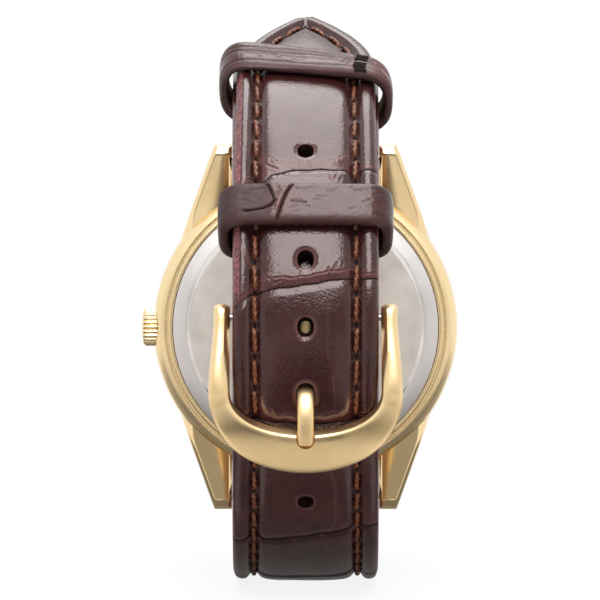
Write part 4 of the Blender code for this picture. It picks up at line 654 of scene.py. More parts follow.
def lipTicks(valleys):
    # short nicks across the lips of the scales
    pick = np.random.default_rng(11)
    ticks = []
    for valley in valleys:
        for x in pick.uniform(-4.7, 4.7, 6):
            start = np.interp(x, *zip(*valley["line"])) + np.interp(x, *zip(*valley["lip"])) * pick.integers(0, 2)
            run, lean = pick.uniform(-0.9, 0.9), pick.uniform(-0.5, 0.5)
            ticks.append((0.7, [(x, start), (x + lean * run, start + run)]))
    return ticks


press = {
    "waver": 0.05, "marginShare": 0.55, "run": 0.25, "rear": 0.85, "fallPower": 1.3, "mark": 0.10, "markDeep": 0.09,
    "lip": 0.10, "lipDeep": 0.045, "lipRed": 0.85, "lipDark": 0.35, "beyondOff": 0.45, "beyondRed": 0.45,
    "wrinkle": 0.11, "wrinkleDeep": 0.055, "wrinkleRim": 0.025, "wrinkleRed": 0.55, "wrinkleDark": 0.30,
    "wrinkleReach": 0.9,
}


def embossed(x, s, half, valleys, wrinkles):
    # depth of the emboss, a mask of the red painted highlight on its lips and bands, and one of its lines painted dark
    # as shade
    depth, crease, groove = (np.zeros(x.shape) for _ in range(3))
    onMargin = np.abs(x) > half - strapForm["stitchIn"]
    for k, valley in enumerate(valleys):
        line = np.interp(x, *zip(*valley["line"])) + press["waver"] * np.sin(2.3 * x + k * 2.1)
        lip = np.interp(x, *zip(*valley["lip"])) + press["waver"] * np.sin(3.7 * x + k)
        lift, off = np.where(onMargin, press["marginShare"], lip), s - line
        deep = valley["deep"] * np.where(onMargin, press["marginShare"], 1.0)
        run = lift + press["run"]
        ahead, behind = smooth((run - off) / run) ** press["fallPower"], smooth(1 + off / press["rear"])
        mark, edge = bell(off - 0.04, valley.get("mark", press["mark"])), bell(off - lift, press["lip"])
        depth = np.maximum(depth, deep * np.where(off > 0, ahead, behind))
        depth = depth + press["markDeep"] * mark + press["lipDeep"] * edge
        # dark crease line, and a dark line at the lip: painted shade
        groove = np.maximum(np.maximum(groove, mark), press["lipDark"] * bell(off - lift + 0.07, 0.07))
        streak = 0.34 + 0.07 * np.sin(7.3 * x + 2.1 * off + k) * np.sin(3.1 * x - k)
        # red lip, the band below it and the band beyond it: painted highlight
        paintedHighlight = np.clip(press["lipRed"] * edge + streak * ((off > 0.1) & (off < lift)), 0.0, 1.0)
        beyond = bell(off - lift - press["beyondOff"] - 0.12 * np.sin(2.9 * x), press["lip"])
        crease = np.maximum(np.maximum(crease, valley.get("highlightShare", 1.0) * paintedHighlight), press["beyondRed"] * beyond)
    # wrinkles and nicks: painted shade in the fold, painted highlight beside it
    for strength, line in wrinkles + lipTicks(valleys):
        (xs, ss), pad = zip(*line), press["wrinkleReach"]
        near = (x > min(xs) - pad) & (x < max(xs) + pad) & (s > min(ss) - pad) & (s < max(ss) + pad)
        reach = nearLine(x[near], s[near], line)
        fold = bell(reach, press["wrinkle"])
        depth[near] += strength * (press["wrinkleDeep"] * fold - press["wrinkleRim"] * bell(reach - 0.27, 0.14))
        crease[near] = np.maximum(crease[near], press["wrinkleRed"] * strength * bell(reach - 0.06, 0.13))
        groove[near] = np.maximum(groove[near], press["wrinkleDark"] * strength * fold)
    swell = 0.016 * np.sin(0.9 * x + 0.31 * s) * np.sin(0.47 * s + 1.0) + 0.008 * np.sin(1.7 * x - 0.8 * s)
    return depth + swell, crease, groove


# stitches lie in the channel, each in its own dip between two awl holes

stitch = {
    "pitch": 3.45, "length": 2.9, "radius": 0.235, "twist": 5.4, "sides": 12, "rings": 21, "rise": 0.26, "sunk": 0.82,
    "dive": 0.22, "underLift": 0.06, "underDive": 0.3, "slant": 0.09, "evenSlant": 0.6, "ply": 0.24, "taper": 0.45,
    "flat": 0.85,
}


def edgeDistance(x, s):
    # true distance in from the outline of the pointed tail
    along = np.append(np.linspace(holeLength - 26.0, holeLength, 90), holeLength)
    wide = np.append(holeHalf(along[:-1]), 0.0)
    return nearLine(np.abs(x), s, list(zip(wide, along)))


def tailChannel():
    # seam line of the hole strap: parallel to the edge, both sides meeting in the tail's point
    bend = holeLength - 20.0
    along = np.concatenate((np.linspace(4.0, bend, 200), np.linspace(bend, holeLength, 400)[1:]))
    wide = holeHalf(along)
    slopeX, slopeS = np.gradient(wide), np.gradient(along)
    size = np.hypot(slopeX, slopeS)
    x = wide - slopeS / size * strapForm["stitchIn"]
    s = along + slopeX / size * strapForm["stitchIn"]
    stop = np.argmax(x < 0.05) if (x < 0.05).any() else len(x)
    return x[:stop], s[:stop]


def evenChannel():
    along = np.linspace(5.0, buckleLength - 3.0, 300)
    return buckleHalf(along) - strapForm["stitchIn"], along


def seamPlaces(seam):
    # arc length along the seam, and the middle of each stitch on it
    run = runAlong(np.stack(seam, -1))
    return run, np.arange(run[-1] - stitch["pitch"] * 0.62, stitch["pitch"] * 0.6, -stitch["pitch"])


punch = {
    "pitch": 7.55, "count": 7, "atFacing": 4, "size": (1.85, 2.1), "buckled": 5, "buckledSize": (2.1, 2.6),
    "inside": 0.93, "dipReach": 2.2, "dipDeep": 0.16, "dipWide": 0.34, "rimRed": 0.7, "rimAt": 1.08, "rimWide": 0.15,
    "wall": ((0.12, 0.94), (0.30, 0.90)), "wallDeep": 2.2, "worn": 0.88, "closed": 0.62,
}
holePlaces = [
    (facing + (punch["atFacing"] - number) * punch["pitch"] * holeMiddle / loop["near"],
     *punch["buckledSize" if number == punch["buckled"] else "size"])
    for number in range(1, punch["count"] + 1)
]
holeStrap = {
    "route": holeRoute, "length": holeLength, "halfOf": holeHalf, "thickOf": holeThick, "tailed": True,
    "valleys": holeValleys, "wrinkles": holeWrinkles, "seam": tailChannel(), "holes": holePlaces,
    "body": "long_strap",
}
buckleStrap = {
    "route": buckleRoute, "length": buckleLength, "halfOf": buckleHalf, "thickOf": buckleThick, "tailed": False,
    "valleys": buckleValleys, "wrinkles": [], "seam": evenChannel(), "holes": [],
    "body": "short_strap",
}


def strapRows(strap):
    # rows run from the turned-under flap, round the bar, along the top, and on to the tip or round the other bar
    length, tailed, step = strap["length"], strap["tailed"], strapForm["step"]
    quarter = np.radians(np.linspace(-90, 90, 15)[1:-1])
    # station, share of height, share of reach past the bar, kind
    rows = [(s, -1.0, 0.0, "under") for s in np.arange(strapForm["flap"], 0.0, -step * 2.5)]
    rows += [(0.0, math.sin(angle), -math.cos(angle), "bend") for angle in quarter]
    last = length - 0.02 if tailed else length
    tops = np.append(np.arange(0.0, last, step), last)
    for valley in strap["valleys"] if tailed else ():
        along = [s for _, s in valley["line"]]
        fine = np.arange(max(min(along) - 0.4, 0.0), min(max(along) + 1.5, last - 0.1), strapForm["fineStep"])
        if len(fine):
            tops = np.concatenate((tops[(tops < fine[0] - 0.02) | (tops > fine[-1] + 0.02)], fine))
    rows += [(s, 1.0, 0.0, "top") for s in np.sort(tops)]
    if not tailed:
        rows += [(length, math.sin(angle), math.cos(angle), "bend") for angle in quarter[::-1]]
        rows += [(s, -1.0, 0.0, "under") for s in np.arange(length, length - strapForm["flap"], -step * 2.5)]
    station, up, out, kind = (np.array(part) for part in zip(*rows))
    return station, up, out, kind == "top", kind == "under"


sheet = {
    "pinch": 0.58, "innerLines": 36, "tailReach": 22.0, "rawFrom": 0.5, "rawOver": 6.0, "rawDrop": 0.42,
    "rawWide": 0.95, "plainDrop": 0.25, "plainWide": 0.5, "easeOver": 2.2, "foldDeep": 0.05, "foldDark": 0.58,
    "pitWide": 0.27, "pitLong": 0.30, "pitDeep": 0.20, "pitDark": 0.9, "troughWide": 0.55, "troughDark": 0.70,
    "flapDrop": 0.03, "skiveDeep": 0.42, "skiveOver": 0.9, "meltFrom": 9.0, "meltEdge": 12, "meltTimes": 14,
}


def meltPoint(height, station):
    # the two sides of the seam melt together in the tail's point
    near = np.nonzero(station > holeLength - sheet["meltFrom"])[0]
    core = slice(sheet["meltEdge"], -sheet["meltEdge"])
    for _ in range(sheet["meltTimes"]):
        soft = height[near, core]
        around = soft[:-2, 1:-1] + soft[2:, 1:-1] + soft[1:-1, :-2] + soft[1:-1, 2:]
        soft[1:-1, 1:-1] = soft[1:-1, 1:-1] * 0.5 + around * 0.125
        height[near, core] = soft


def strapSheet(name, strap, replaced):
    length, tailed, seam = strap["length"], strap["tailed"], strap["seam"]
    station, up, out, isTop, isUnder = strapRows(strap)
    half, thick = strap["halfOf"](station), strap["thickOf"](station)
    squeeze = np.minimum(1.0, half * sheet["pinch"] / strapForm["stitchIn"])
    margin = half[:, None] - np.array(strapForm["inward"]) * squeeze[:, None]
    right = np.hstack((margin, margin[:, -1:] * np.linspace(1, 0, sheet["innerLines"])[None, 1:]))
    x = np.hstack((-right, right[:, -2::-1]))
    s = np.broadcast_to(station[:, None], x.shape)
    edge = half[:, None] - np.abs(x)
    if tailed:
        late = station > holeLength - sheet["tailReach"]
        edge[late] = edgeDistance(x[late], s[late])
    drop = curveThrough(*zip(*strapForm["section"]), np.clip(edge, 0.0, strapForm["section"][-1][0]))
    drop = drop * padShare(thick)[:, None]
    rawShare = np.zeros(len(station))
    if tailed:
        # towards the tail the left side is pared down to its raw edge
        rawShare = np.where(isTop, smooth((station - facing - sheet["rawFrom"]) / sheet["rawOver"]), 0.0)
        drop = drop + sheet["rawDrop"] * (smooth(1 - edge / sheet["rawWide"]) * (x < 0)) * rawShare[:, None]
    # turned-under leather and the round ends are plain
    flat = sheet["plainDrop"] * smooth(1 - edge / sheet["plainWide"])
    fromBar = station if tailed else np.minimum(station, length - station)
    ease = smooth(np.where(isTop, fromBar / sheet["easeOver"], 0.0))[:, None]
    drop = drop * ease + flat * (1 - ease)
    pressed = embossed(x, s, half[:, None], strap["valleys"], strap["wrinkles"])
    emboss, crease, groove = (part * ease for part in pressed)
    # small folds in the bent leather, painted dark as shade through the groove mask
    folds = sheet["foldDeep"] * np.sin(s * 4.0 + 0.6 * np.sin(x)) ** 8 * (1 - ease)
    emboss, groove = emboss + folds, groove + 8 * folds
    # the awl pits are painted dark as shade
    run, places = seamPlaces(seam)
    awls = np.append(places + stitch["pitch"] / 2, places[-1] - stitch["pitch"] / 2)
    for holeX, holeS in zip(np.interp(awls, run, seam[0]), np.interp(awls, run, seam[1])):
        pit = bell(np.hypot((np.abs(x) - holeX) / sheet["pitWide"], (s - holeS) / sheet["pitLong"]), 1.0)
        pit = pit * isTop[:, None]
        emboss, groove = emboss + sheet["pitDeep"] * pit, np.maximum(groove, sheet["pitDark"] * pit)
    # the stitch channel is painted darker as shade
    trough = smooth(1 - np.abs(edge - strapForm["stitchIn"]) / sheet["troughWide"]) * ease
    groove = np.maximum(groove, sheet["troughDark"] * trough)
    # the flap is thinned towards its end
    skive = sheet["skiveDeep"] * smooth(1 - (strapForm["flap"] - fromBar) / sheet["skiveOver"])
    height = thick[:, None] / 2 - drop - emboss + np.where(isUnder, sheet["flapDrop"] - skive, 0.0)[:, None]
    if tailed:
        meltPoint(height, station)
    lining = strapForm["lining"]
    wall = (np.where(isTop, lining, np.where(isUnder, 0.02, (up + 1) / 2 * lining)) - thick / 2)[:, None]
    wide = np.hstack((-half[:, None], x, half[:, None]))
    high, past = np.hstack((wall, height * up[:, None], wall)), np.pad(height * out[:, None], ((0, 0), (1, 1)))
    grid = overRoute(strap["route"], station, wide, high, past)
    rows, columns = grid.shape[:2]
    masks = {
        label: np.pad(np.clip(mask, 0, 1), ((0, 0), (1, 1))).reshape(-1)
        for label, mask in (("crease", crease), ("groove", groove))
    }
    points, faces = grid.reshape(-1, 3), gridFaces(rows, columns)
    column, raw = np.tile(np.arange(columns - 1), rows - 1), np.repeat(rawShare[:-1] > 0.35, columns - 1)
    lookOf = np.where((column < 3) | (column > columns - 5) | ((column < 7) & raw), 1, 0)
    flatX = wide.reshape(-1)
    flatS, onTop, under = (np.repeat(part, columns) for part in (station, isTop, isUnder))
    if tailed:
        # the blunt end of the tail closes with one strip of cut edge
        share = np.linspace(0, 1, columns)[:, None]
        below = len(points) + np.arange(columns)
        endRow = below - columns
        points = np.vstack((points, grid[-1, 0] * (1 - share) + grid[-1, -1] * share))
        faces = np.vstack((faces, np.stack((endRow[:-1], endRow[1:], below[1:], below[:-1]), -1)))
        lookOf = np.append(lookOf, np.ones(columns - 1, int))
        masks = {label: np.append(mask, np.zeros(columns)) for label, mask in masks.items()}
        flatX, flatS = np.append(flatX, np.full(columns, 99.0)), np.append(flatS, np.full(columns, -99.0))
        onTop, under = (np.append(part, np.zeros(columns, bool)) for part in (onTop, under))
    # the darkest folded faces and the turned-under flap take the duller copy, as painted shade
    folded = (masks["groove"][faces].mean(1) > sheet["foldDark"]) | under[faces].all(1)
    lookOf = np.where((lookOf == 0) & folded, 3, lookOf)
    form, lookOf, masks = openHoles(points, faces, lookOf, masks, flatX, flatS, onTop, strap)
    looks = [hide, cutEdge, shadedHoleWall, shadedFoldHide]
    makePiece(name, form, looks, strap["body"], replaced, masks, lookOf)


def openHoles(points, faces, lookOf, masks, flatX, flatS, onTop, strap):
    # punches each oval: takes out the faces inside it, draws the rim onto the oval and lines it with a wall in
    # near-black painted shade
    rings, walls, base = [], [], len(points)
    for at, wide, tall in strap["holes"]:
        straight = (tall - wide) / 2
        off = flatS - at
        hard = np.sign(off) * np.clip(np.abs(off) - straight, 0.0, None)
        reach = np.hypot(flatX, hard) / (wide / 2)
        inside = (reach < punch["inside"]) & onTop
        hit = inside[faces].any(1)
        rim = np.setdiff1d(np.unique(faces[hit]), np.nonzero(inside)[0])
        faces, lookOf = faces[~hit], lookOf[~hit]
        centre, angle = routeAt(strap["route"], np.array([at]))
        ahead, normal = onward(angle)[0], outward(angle)[0]
        near = (reach < punch["dipReach"]) & onTop
        dip = punch["dipDeep"] * bell(np.maximum(reach[near], 1.0) - 1.0, punch["dipWide"])
        points[near, 1:] -= normal * dip[:, None]
        # a pinkish ring round each hole: painted highlight
        paintedHighlight = punch["rimRed"] * bell(reach - punch["rimAt"], punch["rimWide"]) * onTop
        masks["crease"] = np.maximum(masks["crease"], paintedHighlight)
        # each rim point slides along its own direction until it lies on the oval
        order = rim[np.argsort(np.arctan2(hard[rim] + 0.2 * off[rim], flatX[rim]))]
        x, s, bent = flatX[order], off[order], hard[order]
        scale = wide / 2 / np.hypot(x, bent)
        points[order, 0] += x * scale - x
        newS = np.where(np.abs(bent) > 0, bent * scale + np.sign(s) * straight, s)
        points[order, 1:] += ahead * (newS - s)[:, None]
        previous = order
        narrow = punch["worn"] if wide > punch["size"][0] else punch["closed"]
        for sink, grow in (*punch["wall"], (punch["wallDeep"], narrow)):
            ring = points[order].copy()
            ring[:, 0] *= grow
            ring[:, 1:] -= ahead * ((ring[:, 1:] - centre[0]) @ ahead * (1 - grow))[:, None] + normal * sink
            current = base + np.arange(len(order))
            walls.append(np.stack((previous, np.roll(previous, -1), np.roll(current, -1), current), -1))
            rings.append(ring)
            previous, base = current, base + len(order)
    if rings:
        more, new = np.vstack(rings), np.vstack(walls)
        points, faces = np.vstack((points, more)), np.vstack((faces, new))
        lookOf = np.append(lookOf, np.full(len(new), 2))
        masks = {label: np.append(mask, np.zeros(len(more))) for label, mask in masks.items()}
    used = np.unique(faces)
    lookup = np.full(len(points), -1)
    lookup[used] = np.arange(len(used))
    return (points[used], lookup[faces]), lookOf, {label: mask[used] for label, mask in masks.items()}


strapSheet("holeStrapUpper", holeStrap, ["hole_strap_upper"])
strapSheet("buckleStrapUpper", buckleStrap, ["buckle_strap_upper"])
print("strap uppers made")


liningForm = {
    "start": 0.4, "step": 0.35, "inset": 0.05, "lines": 45, "roll": 0.30, "rollWide": 0.7, "ripple": 0.012,
    "thinned": 0.32, "thinOver": 0.6, "edge": 0.35, "punch": 0.46, "punchFrom": -2.2, "punchTo": 1.0,
}


def liningSheet(name, strap, last, thinFrom, replaced):
    # a thin closed layer under the upper, its wrist side softly rolled at the edges
    station = np.arange(liningForm["start"], last, liningForm["step"])
    half, thick = strap["halfOf"](station) - liningForm["inset"], strap["thickOf"](station)
    across = np.concatenate(([-1.0, -1.0], np.linspace(-1, 1, liningForm["lines"]), [1.0, 1.0]))
    x = half[:, None] * across[None, :]
    low = -thick[:, None] / 2
    rollWide, thinOver = liningForm["rollWide"], liningForm["thinOver"]
    roll = liningForm["roll"] * smooth((np.abs(x) - half[:, None] + rollWide) / rollWide) ** 2
    ripple = liningForm["ripple"] * np.sin(x * 2.3 + station[:, None]) * np.sin(station[:, None] * 1.7)
    # thinner where the upper is turned under it
    under = np.maximum(smooth((strapForm["flap"] + 0.5 - station) / thinOver), smooth((station - thinFrom) / thinOver))
    height = low + roll + ripple + liningForm["thinned"] * under[:, None]
    top = low[:, 0] + strapForm["lining"]
    height[:, 0] = height[:, -1] = top
    height[:, 1] = height[:, -2] = top - liningForm["edge"]
    form = lofted(overRoute(strap["route"], station, x, height, 0 * x))
    piece = makePiece(name, form, [liningTan], strap["body"], replaced, sharp=50)
    c, s = np.cos(circled(28)), np.sin(circled(28))
    levels = np.array((liningForm["punchFrom"], liningForm["punchTo"]))[:, None] + 0 * c
    for i, (at, wide, tall) in enumerate(strap["holes"]):
        radius = wide * liningForm["punch"]
        across, along = radius * c, radius * s + np.sign(s) * (tall - wide) / 2
        rings = overRoute(strap["route"], np.array((at, at)), across + 0 * levels, levels, along + 0 * levels)
        cutWith(piece, f"liningPunch{i}", lofted(rings))


liningSheet("holeStrapLining", holeStrap, holeLength - 0.25, holeLength + 9.0, ["hole_strap_lining"])
flapEnd = buckleLength - strapForm["flap"] - 0.5
liningSheet("buckleStrapLining", buckleStrap, buckleLength - 0.4, flapEnd, ["buckle_strap_lining"])
print("linings made")


def stitchRun(name, strap, replaced):
    forms = []
    share = np.linspace(-1, 1, stitch["rings"])
    around = circled(stitch["sides"])
    seam = strap["seam"]
    run, places = seamPlaces(seam)
    for sign, under in ((-1, False), (1, False), (-1, True), (1, True)):
        for number, at in enumerate(places):
            there = at + (stitch["pitch"] / 2 if under else 0.0) + share * stitch["length"] / 2
            if there[-1] > run[-1]:
                continue  # none past the end of the seam
            x, s = np.interp(there, run, seam[0]), np.interp(there, run, seam[1])
            turnX, turnS = np.gradient(x), np.gradient(s)
            size = np.hypot(turnX, turnS)
            thick = strap["thickOf"](s)
            lift = thick / 2 - stitch["sunk"] * padShare(thick) + stitch["rise"] * (1 - share ** 4)
            lift = lift - stitch["dive"] * share ** 6
            if under:
                lift = -thick / 2 + stitch["underLift"] + stitch["underDive"] * share ** 6
            slant = stitch["slant"] * share * (1.0 if number % 2 else stitch["evenSlant"])
            ply = 1 + stitch["ply"] * np.cos(2 * (around[None, :] - share[:, None] * stitch["twist"] - number))
            reach = (stitch["radius"] * (1 - stitch["taper"] * share ** 8))[:, None] * ply
            side, rise = np.cos(around) * reach + slant[:, None], np.sin(around) * reach * stitch["flat"]
            ringX = sign * (x[:, None] + side * (turnS / size)[:, None])
            ringS = -side * (turnX / size)[:, None]
            forms.append(lofted(overRoute(strap["route"], s, ringX, lift[:, None] + rise, ringS)))
    makePiece(name, joined(forms), [waxThread], strap["body"], replaced)


stitchRun("holeStrapStitches", holeStrap, ["hole_strap_stitching"])
stitchRun("buckleStrapStitches", buckleStrap, ["buckle_strap_stitching"])
print("stitches made")


# keepers: bands of the same hide round both straps

fixedKeeper = {
    "turn": 31.0, "centre": middle, "half": 8.45, "bow": 0.30, "skew": 0.0, "twist": 0.0, "rise": -0.1, "wide": 5.1,
    "ahead": 0.15, "wall": 1.2, "corner": 3.0, "seed": 5, "slack": 0.15,
    # fold lines across the band with their depth: place across the strap, place over the band's width
    "lines": [
        (1.0, [(-1.2, 2.6), (-2.1, 1.1), (-2.7, -0.7), (-3.2, -2.5)]),
        (0.9, [(-4.3, 2.4), (-3.8, 1.4), (-3.4, 0.1), (-3.8, -0.6), (-4.6, -0.95), (-5.6, -1.15), (-6.6, -1.3)]),
        (0.55, [(-6.7, -1.3), (-7.6, -1.5), (-8.3, -1.75)]),
        (0.35, [(-3.3, 2.5), (-2.9, 1.5), (-3.1, 0.6), (-3.5, -0.6)]), (0.45, [(-5.9, 1.4), (-4.4, 1.6)]),
        (0.6, [(-1.4, -0.1), (-0.1, -0.25)]), (0.4, [(-0.8, 1.6), (0.1, 1.5)]), (0.3, [(1.3, 0.6), (2.2, 0.5)]),
    ],
    "ribs": (),
    # patches of the band that differ: from, to across the strap and over the width, redness, darkness
    "scales": ((-12.0, -3.5, -3, 3, 0.34, 0.56), (-3.4, -2.5, -3, 3, 0.60, 0.0)),
}
freeKeeper = {
    "turn": 58.0, "centre": topCentre, "half": 9.05, "bow": 0.26, "skew": -11.0, "twist": -7.0, "rise": -0.22,
    "wide": 5.5, "ahead": 0.05, "wall": 1.0, "corner": 4.9, "seed": 8, "slack": 0.28,
    "lines": [
        (0.6, [(5.6, 2.7), (5.9, 1.4), (5.8, 0.4), (5.9, -0.9), (5.6, -2.6)]),
        (0.4, [(-6.0, 0.9), (-2.0, 1.1), (2.0, 0.8), (5.4, 1.0)]), (0.5, [(5.0, 0.9), (4.2, -0.6)]),
        (0.35, [(-7.0, 0.0), (-1.0, -0.3), (4.0, -0.1)]), (0.5, [(5.2, 0.2), (4.8, -0.9)]),
        (0.45, [(7.2, 1.6), (8.2, 0.2)]), (0.4, [(7.6, -0.4), (8.8, -1.2)]),
    ],
    # grooves along the band: place over its width, depth
    "ribs": ((1.45, 0.10), (0.55, 0.12), (-1.55, 0.12)),
    "scales": ((5.6, 7.5, 0.25, 2.7, 0.0, 0.95), (5.3, 7.2, -2.8, -0.05, 0.0, 0.95), (7.3, 12.0, -3, 3, 1.0, 0.05)),
}


band = {
    "spacing": 0.13, "crown": 0.10, "ribWide": 0.17, "ribRed": 0.4, "ribDark": 0.6, "nicks": 26, "nickDeep": 0.28,
    "foldWide": 0.15, "foldDeep": 0.14, "lipOff": 0.33, "lipWide": 0.16, "lipHigh": 0.035, "lipRed": 0.55,
    "patchFade": 0.4, "endFade": 0.3, "rolledRed": 0.42, "rolledDark": 0.45, "ripple": 0.015, "outside": -0.3,
    "topShare": 0.8, "sway": 0.12, "shiver": 0.05, "ribLip": 0.26, "ribLipWide": 0.12, "ragged": 0.08, "mottle": 0.25,
    "rollFrom": 0.95, "rollOver": 0.5,
    # ranges that the nicks are drawn from: place across, place over the width, run, lean
    "nickRanges": ((-8, 8), (-2, 2.2), (0.3, 1.1), (-0.5, 0.5)),
}


def keeperOutline(form, low, high):
    # outer face of the band: straight sides, round corners, the top bowed up in the middle
    wide, wall = form["half"] + form["wall"], form["wall"]
    corners = [(wide, high + wall), (-wide, high + wall), (-wide, low - wall), (wide, low - wall)]
    outline = filleted(corners, form["corner"], 10)
    spots = []
    for a, b in zip(outline, np.roll(outline, -1, 0)):
        count = max(1, int(np.linalg.norm(b - a) / band["spacing"]))
        spots.extend(a + (b - a) * i / count for i in range(count))
    spots = np.array(spots)
    onTop = np.clip((spots[:, 1] - low) / (high - low), 0, 1) ** 4
    spots[:, 1] += form["bow"] * (1 - np.clip(np.abs(spots[:, 0]) / wide, 0, 1) ** 2) * onTop
    ahead = np.roll(spots, -1, 0) - np.roll(spots, 1, 0)
    normal = np.stack((ahead[:, 1], -ahead[:, 0]), -1) / np.linalg.norm(ahead, axis=1)[:, None]
    return spots, normal * (-1 if normal[0] @ spots[0] < 0 else 1)


def keeperSection(w, wall):
    # place over the width and height of the band's own section, open on the inside
    back = [
        (-w + 0.2, -wall), (-w, -wall + 0.2), (-w, -0.60), (-w + 0.07, -0.40), (-w + 0.22, -0.24), (-w + 0.45, -0.12),
        (-w + 0.75, -0.04),
    ]
    face = [(v, 0.0) for v in np.linspace(-w + 1.05, w - 0.55, 43)]
    front = [(w - 0.28, -0.06), (w - 0.10, -0.20), (w, -0.45), (w, -wall + 0.25), (w - 0.25, -wall)]
    return np.array(back + face + front)


def keeperBand(name, form, inner, body, replaced):
    gap, wall, w = loop["tailGap"], form["wall"], form["wide"] / 2
    low = -gap - form["slack"]
    high = loop["holeThick"] + gap + loop["buckleThick"] + gap + form["rise"]
    spots, normal = keeperOutline(form, low, high)
    across, height = (part[None, :].repeat(len(spots), 0) for part in keeperSection(w, wall).T)
    outer = height > band["outside"]
    crown = band["crown"] * (1 - (across / w) ** 2) * outer
    side = spots[:, :1] + 0 * across
    topFace = (spots[:, 1] > high + wall - form["corner"] * band["topShare"])[:, None] & outer
    crease, groove = np.zeros(across.shape), np.zeros(across.shape)
    # each rib dents the band, with painted shade in the dent and painted highlight on its lip
    for at, deep in form["ribs"]:
        wander = at + band["sway"] * np.sin(side * 0.55 + at) + band["shiver"] * np.sin(side * 1.9)
        dent = bell(across - wander, band["ribWide"]) * outer
        height = height - deep * dent
        groove = np.maximum(groove, band["ribDark"] * dent)
        lip = bell(across - wander - band["ribLip"], band["ribLipWide"])
        crease = np.maximum(crease, band["ribRed"] * lip * outer)
    pick = np.random.default_rng(form["seed"])
    drawn = (pick.uniform(least, most, band["nicks"]) for least, most in band["nickRanges"])
    nicks = [(band["nickDeep"], [(x, v), (x + run, v + run * lean)]) for x, v, run, lean in zip(*drawn)]
    # fold lines and nicks: painted shade in the fold, painted highlight on its lip
    for strength, line in form["lines"] + nicks:
        reach = nearLine(side, across, line)
        fold = bell(reach, band["foldWide"]) * topFace
        lip = bell(reach - band["lipOff"], band["lipWide"]) * topFace
        height = height - band["foldDeep"] * strength * fold + band["lipHigh"] * strength * lip
        crease, groove = np.maximum(crease, band["lipRed"] * strength * lip), np.maximum(groove, strength * fold)
    # listed patches of the band made redder and darker; worn here is only each patch's extent
    for first, final, back, fore, red, dark in form["scales"]:
        ragged = side + band["ragged"] * np.sin(across * 2.6 + first)
        worn = smooth((ragged - first) / band["patchFade"]) * smooth((final - ragged) / band["patchFade"]) * topFace
        worn = worn * smooth((across - back) / band["endFade"]) * smooth((fore - across) / band["endFade"])
        mottle = 1 - band["mottle"] + band["mottle"] * np.sin(side * 3.1 + 1.3 * across) * np.sin(across * 4.3 - side)
        crease, groove = np.maximum(crease, red * worn * mottle), np.maximum(groove, dark * worn)
    # the edge towards the buckle is rolled, painted darker as shade, with some of the lighter red
    rolled = smooth((band["rollFrom"] - w - across) / band["rollOver"]) * outer
    crease, groove = np.maximum(crease, band["rolledRed"] * rolled), np.maximum(groove, band["rolledDark"] * rolled)
    height = height + crown + band["ripple"] * np.sin(side * 1.3 + across * 1.9)
    planar = spots[:, None, :] + normal[:, None, :] * height[..., None]
    planar[..., 1] += across * math.sin(math.radians(form["twist"])) * planar[..., 0] / form["half"] * outer
    skew, angle = math.radians(form["skew"]), math.radians(form["turn"])
    run = form["ahead"] + across * math.cos(skew) + planar[..., 0] * math.sin(skew)
    yz = form["centre"] + outward(angle) * (inner + planar[..., 1:2]) + onward(angle) * run[..., None]
    grid = np.concatenate((planar[..., 0:1], yz), -1)
    rows, columns = grid.shape[:2]
    faces = gridFaces(rows, columns, True, True)
    edge = (np.arange(columns) < 2) | (np.arange(columns) > columns - 5)
    # the darkest folds take the duller copy, as painted shade
    folded = groove.reshape(-1)[faces].mean(1) > sheet["foldDark"]
    lookOf = np.where(np.tile(edge, rows), 1, np.where(folded, 2, 0))
    masks = {"crease": crease.reshape(-1), "groove": groove.reshape(-1)}
    looks = [keeperHide, paintedEdge, shadedFoldHide]
    makePiece(name, (grid.reshape(-1, 3), faces), looks, body, replaced, masks, lookOf)


buckleInner = buckleMiddle - loop["buckleThick"] / 2
keeperBand("fixedKeeperBand", fixedKeeper, buckleInner, "short_strap", ["fixed_keeper"])
keeperBand("freeKeeperBand", freeKeeper, loop["top"] - loop["near"] + buckleInner, "loop", ["free_keeper"])
print("keepers made")


# buckle: distance runs from the bar along the strap, towards 6 o'clock

buckle = {
    "inner": 8.3, "arm": 1.8, "belly": 0.5, "armLength": 8.5, "length": 17.2, "band": 4.5, "end": 1.3, "thick": 2.0,
    "barDeep": 2.4, "endRound": 1.6, "lean": 0.12, "innerBevel": 0.9, "bevelShare": 0.36, "armRound": 3.6,
    "bandRound": 7.0, "notch": 0.9, "tongueWide": 1.8, "tongueThick": 1.1, "eye": 0.95, "eyeWall": 0.55,
    "eyeTurn": (65, 328, 40), "seatGap": 0.1, "tongueSteps": 110, "easings": 40, "tipRound": 0.95, "tongueEdge": 0.45,
}
bandStart = buckle["length"] - buckle["band"]


def onBuckle(across, distance, radius):
    angle = math.radians(loop["barTurn"]) - np.asarray(distance) / loop["near"]
    return np.concatenate((np.asarray(across)[..., None], outward(angle) * np.asarray(radius)[..., None]), -1)


def frameRadius(distance):
    front = loop["near"] + loop["tailGap"] * 1.4 + buckle["thick"] / 2
    share = np.clip(np.asarray(distance) / (buckle["length"] * 0.68), 0.0, 1.25)
    even = share - np.clip(share - 0.75, 0.0, 0.5) ** 2
    return buckleMiddle + (front - buckleMiddle) * (0.55 * even + 0.45 * smooth(share))


# floor of the seat for the tongue's tip
seatLevel = frameRadius(bandStart) + buckle["thick"] / 2 - buckle["notch"]


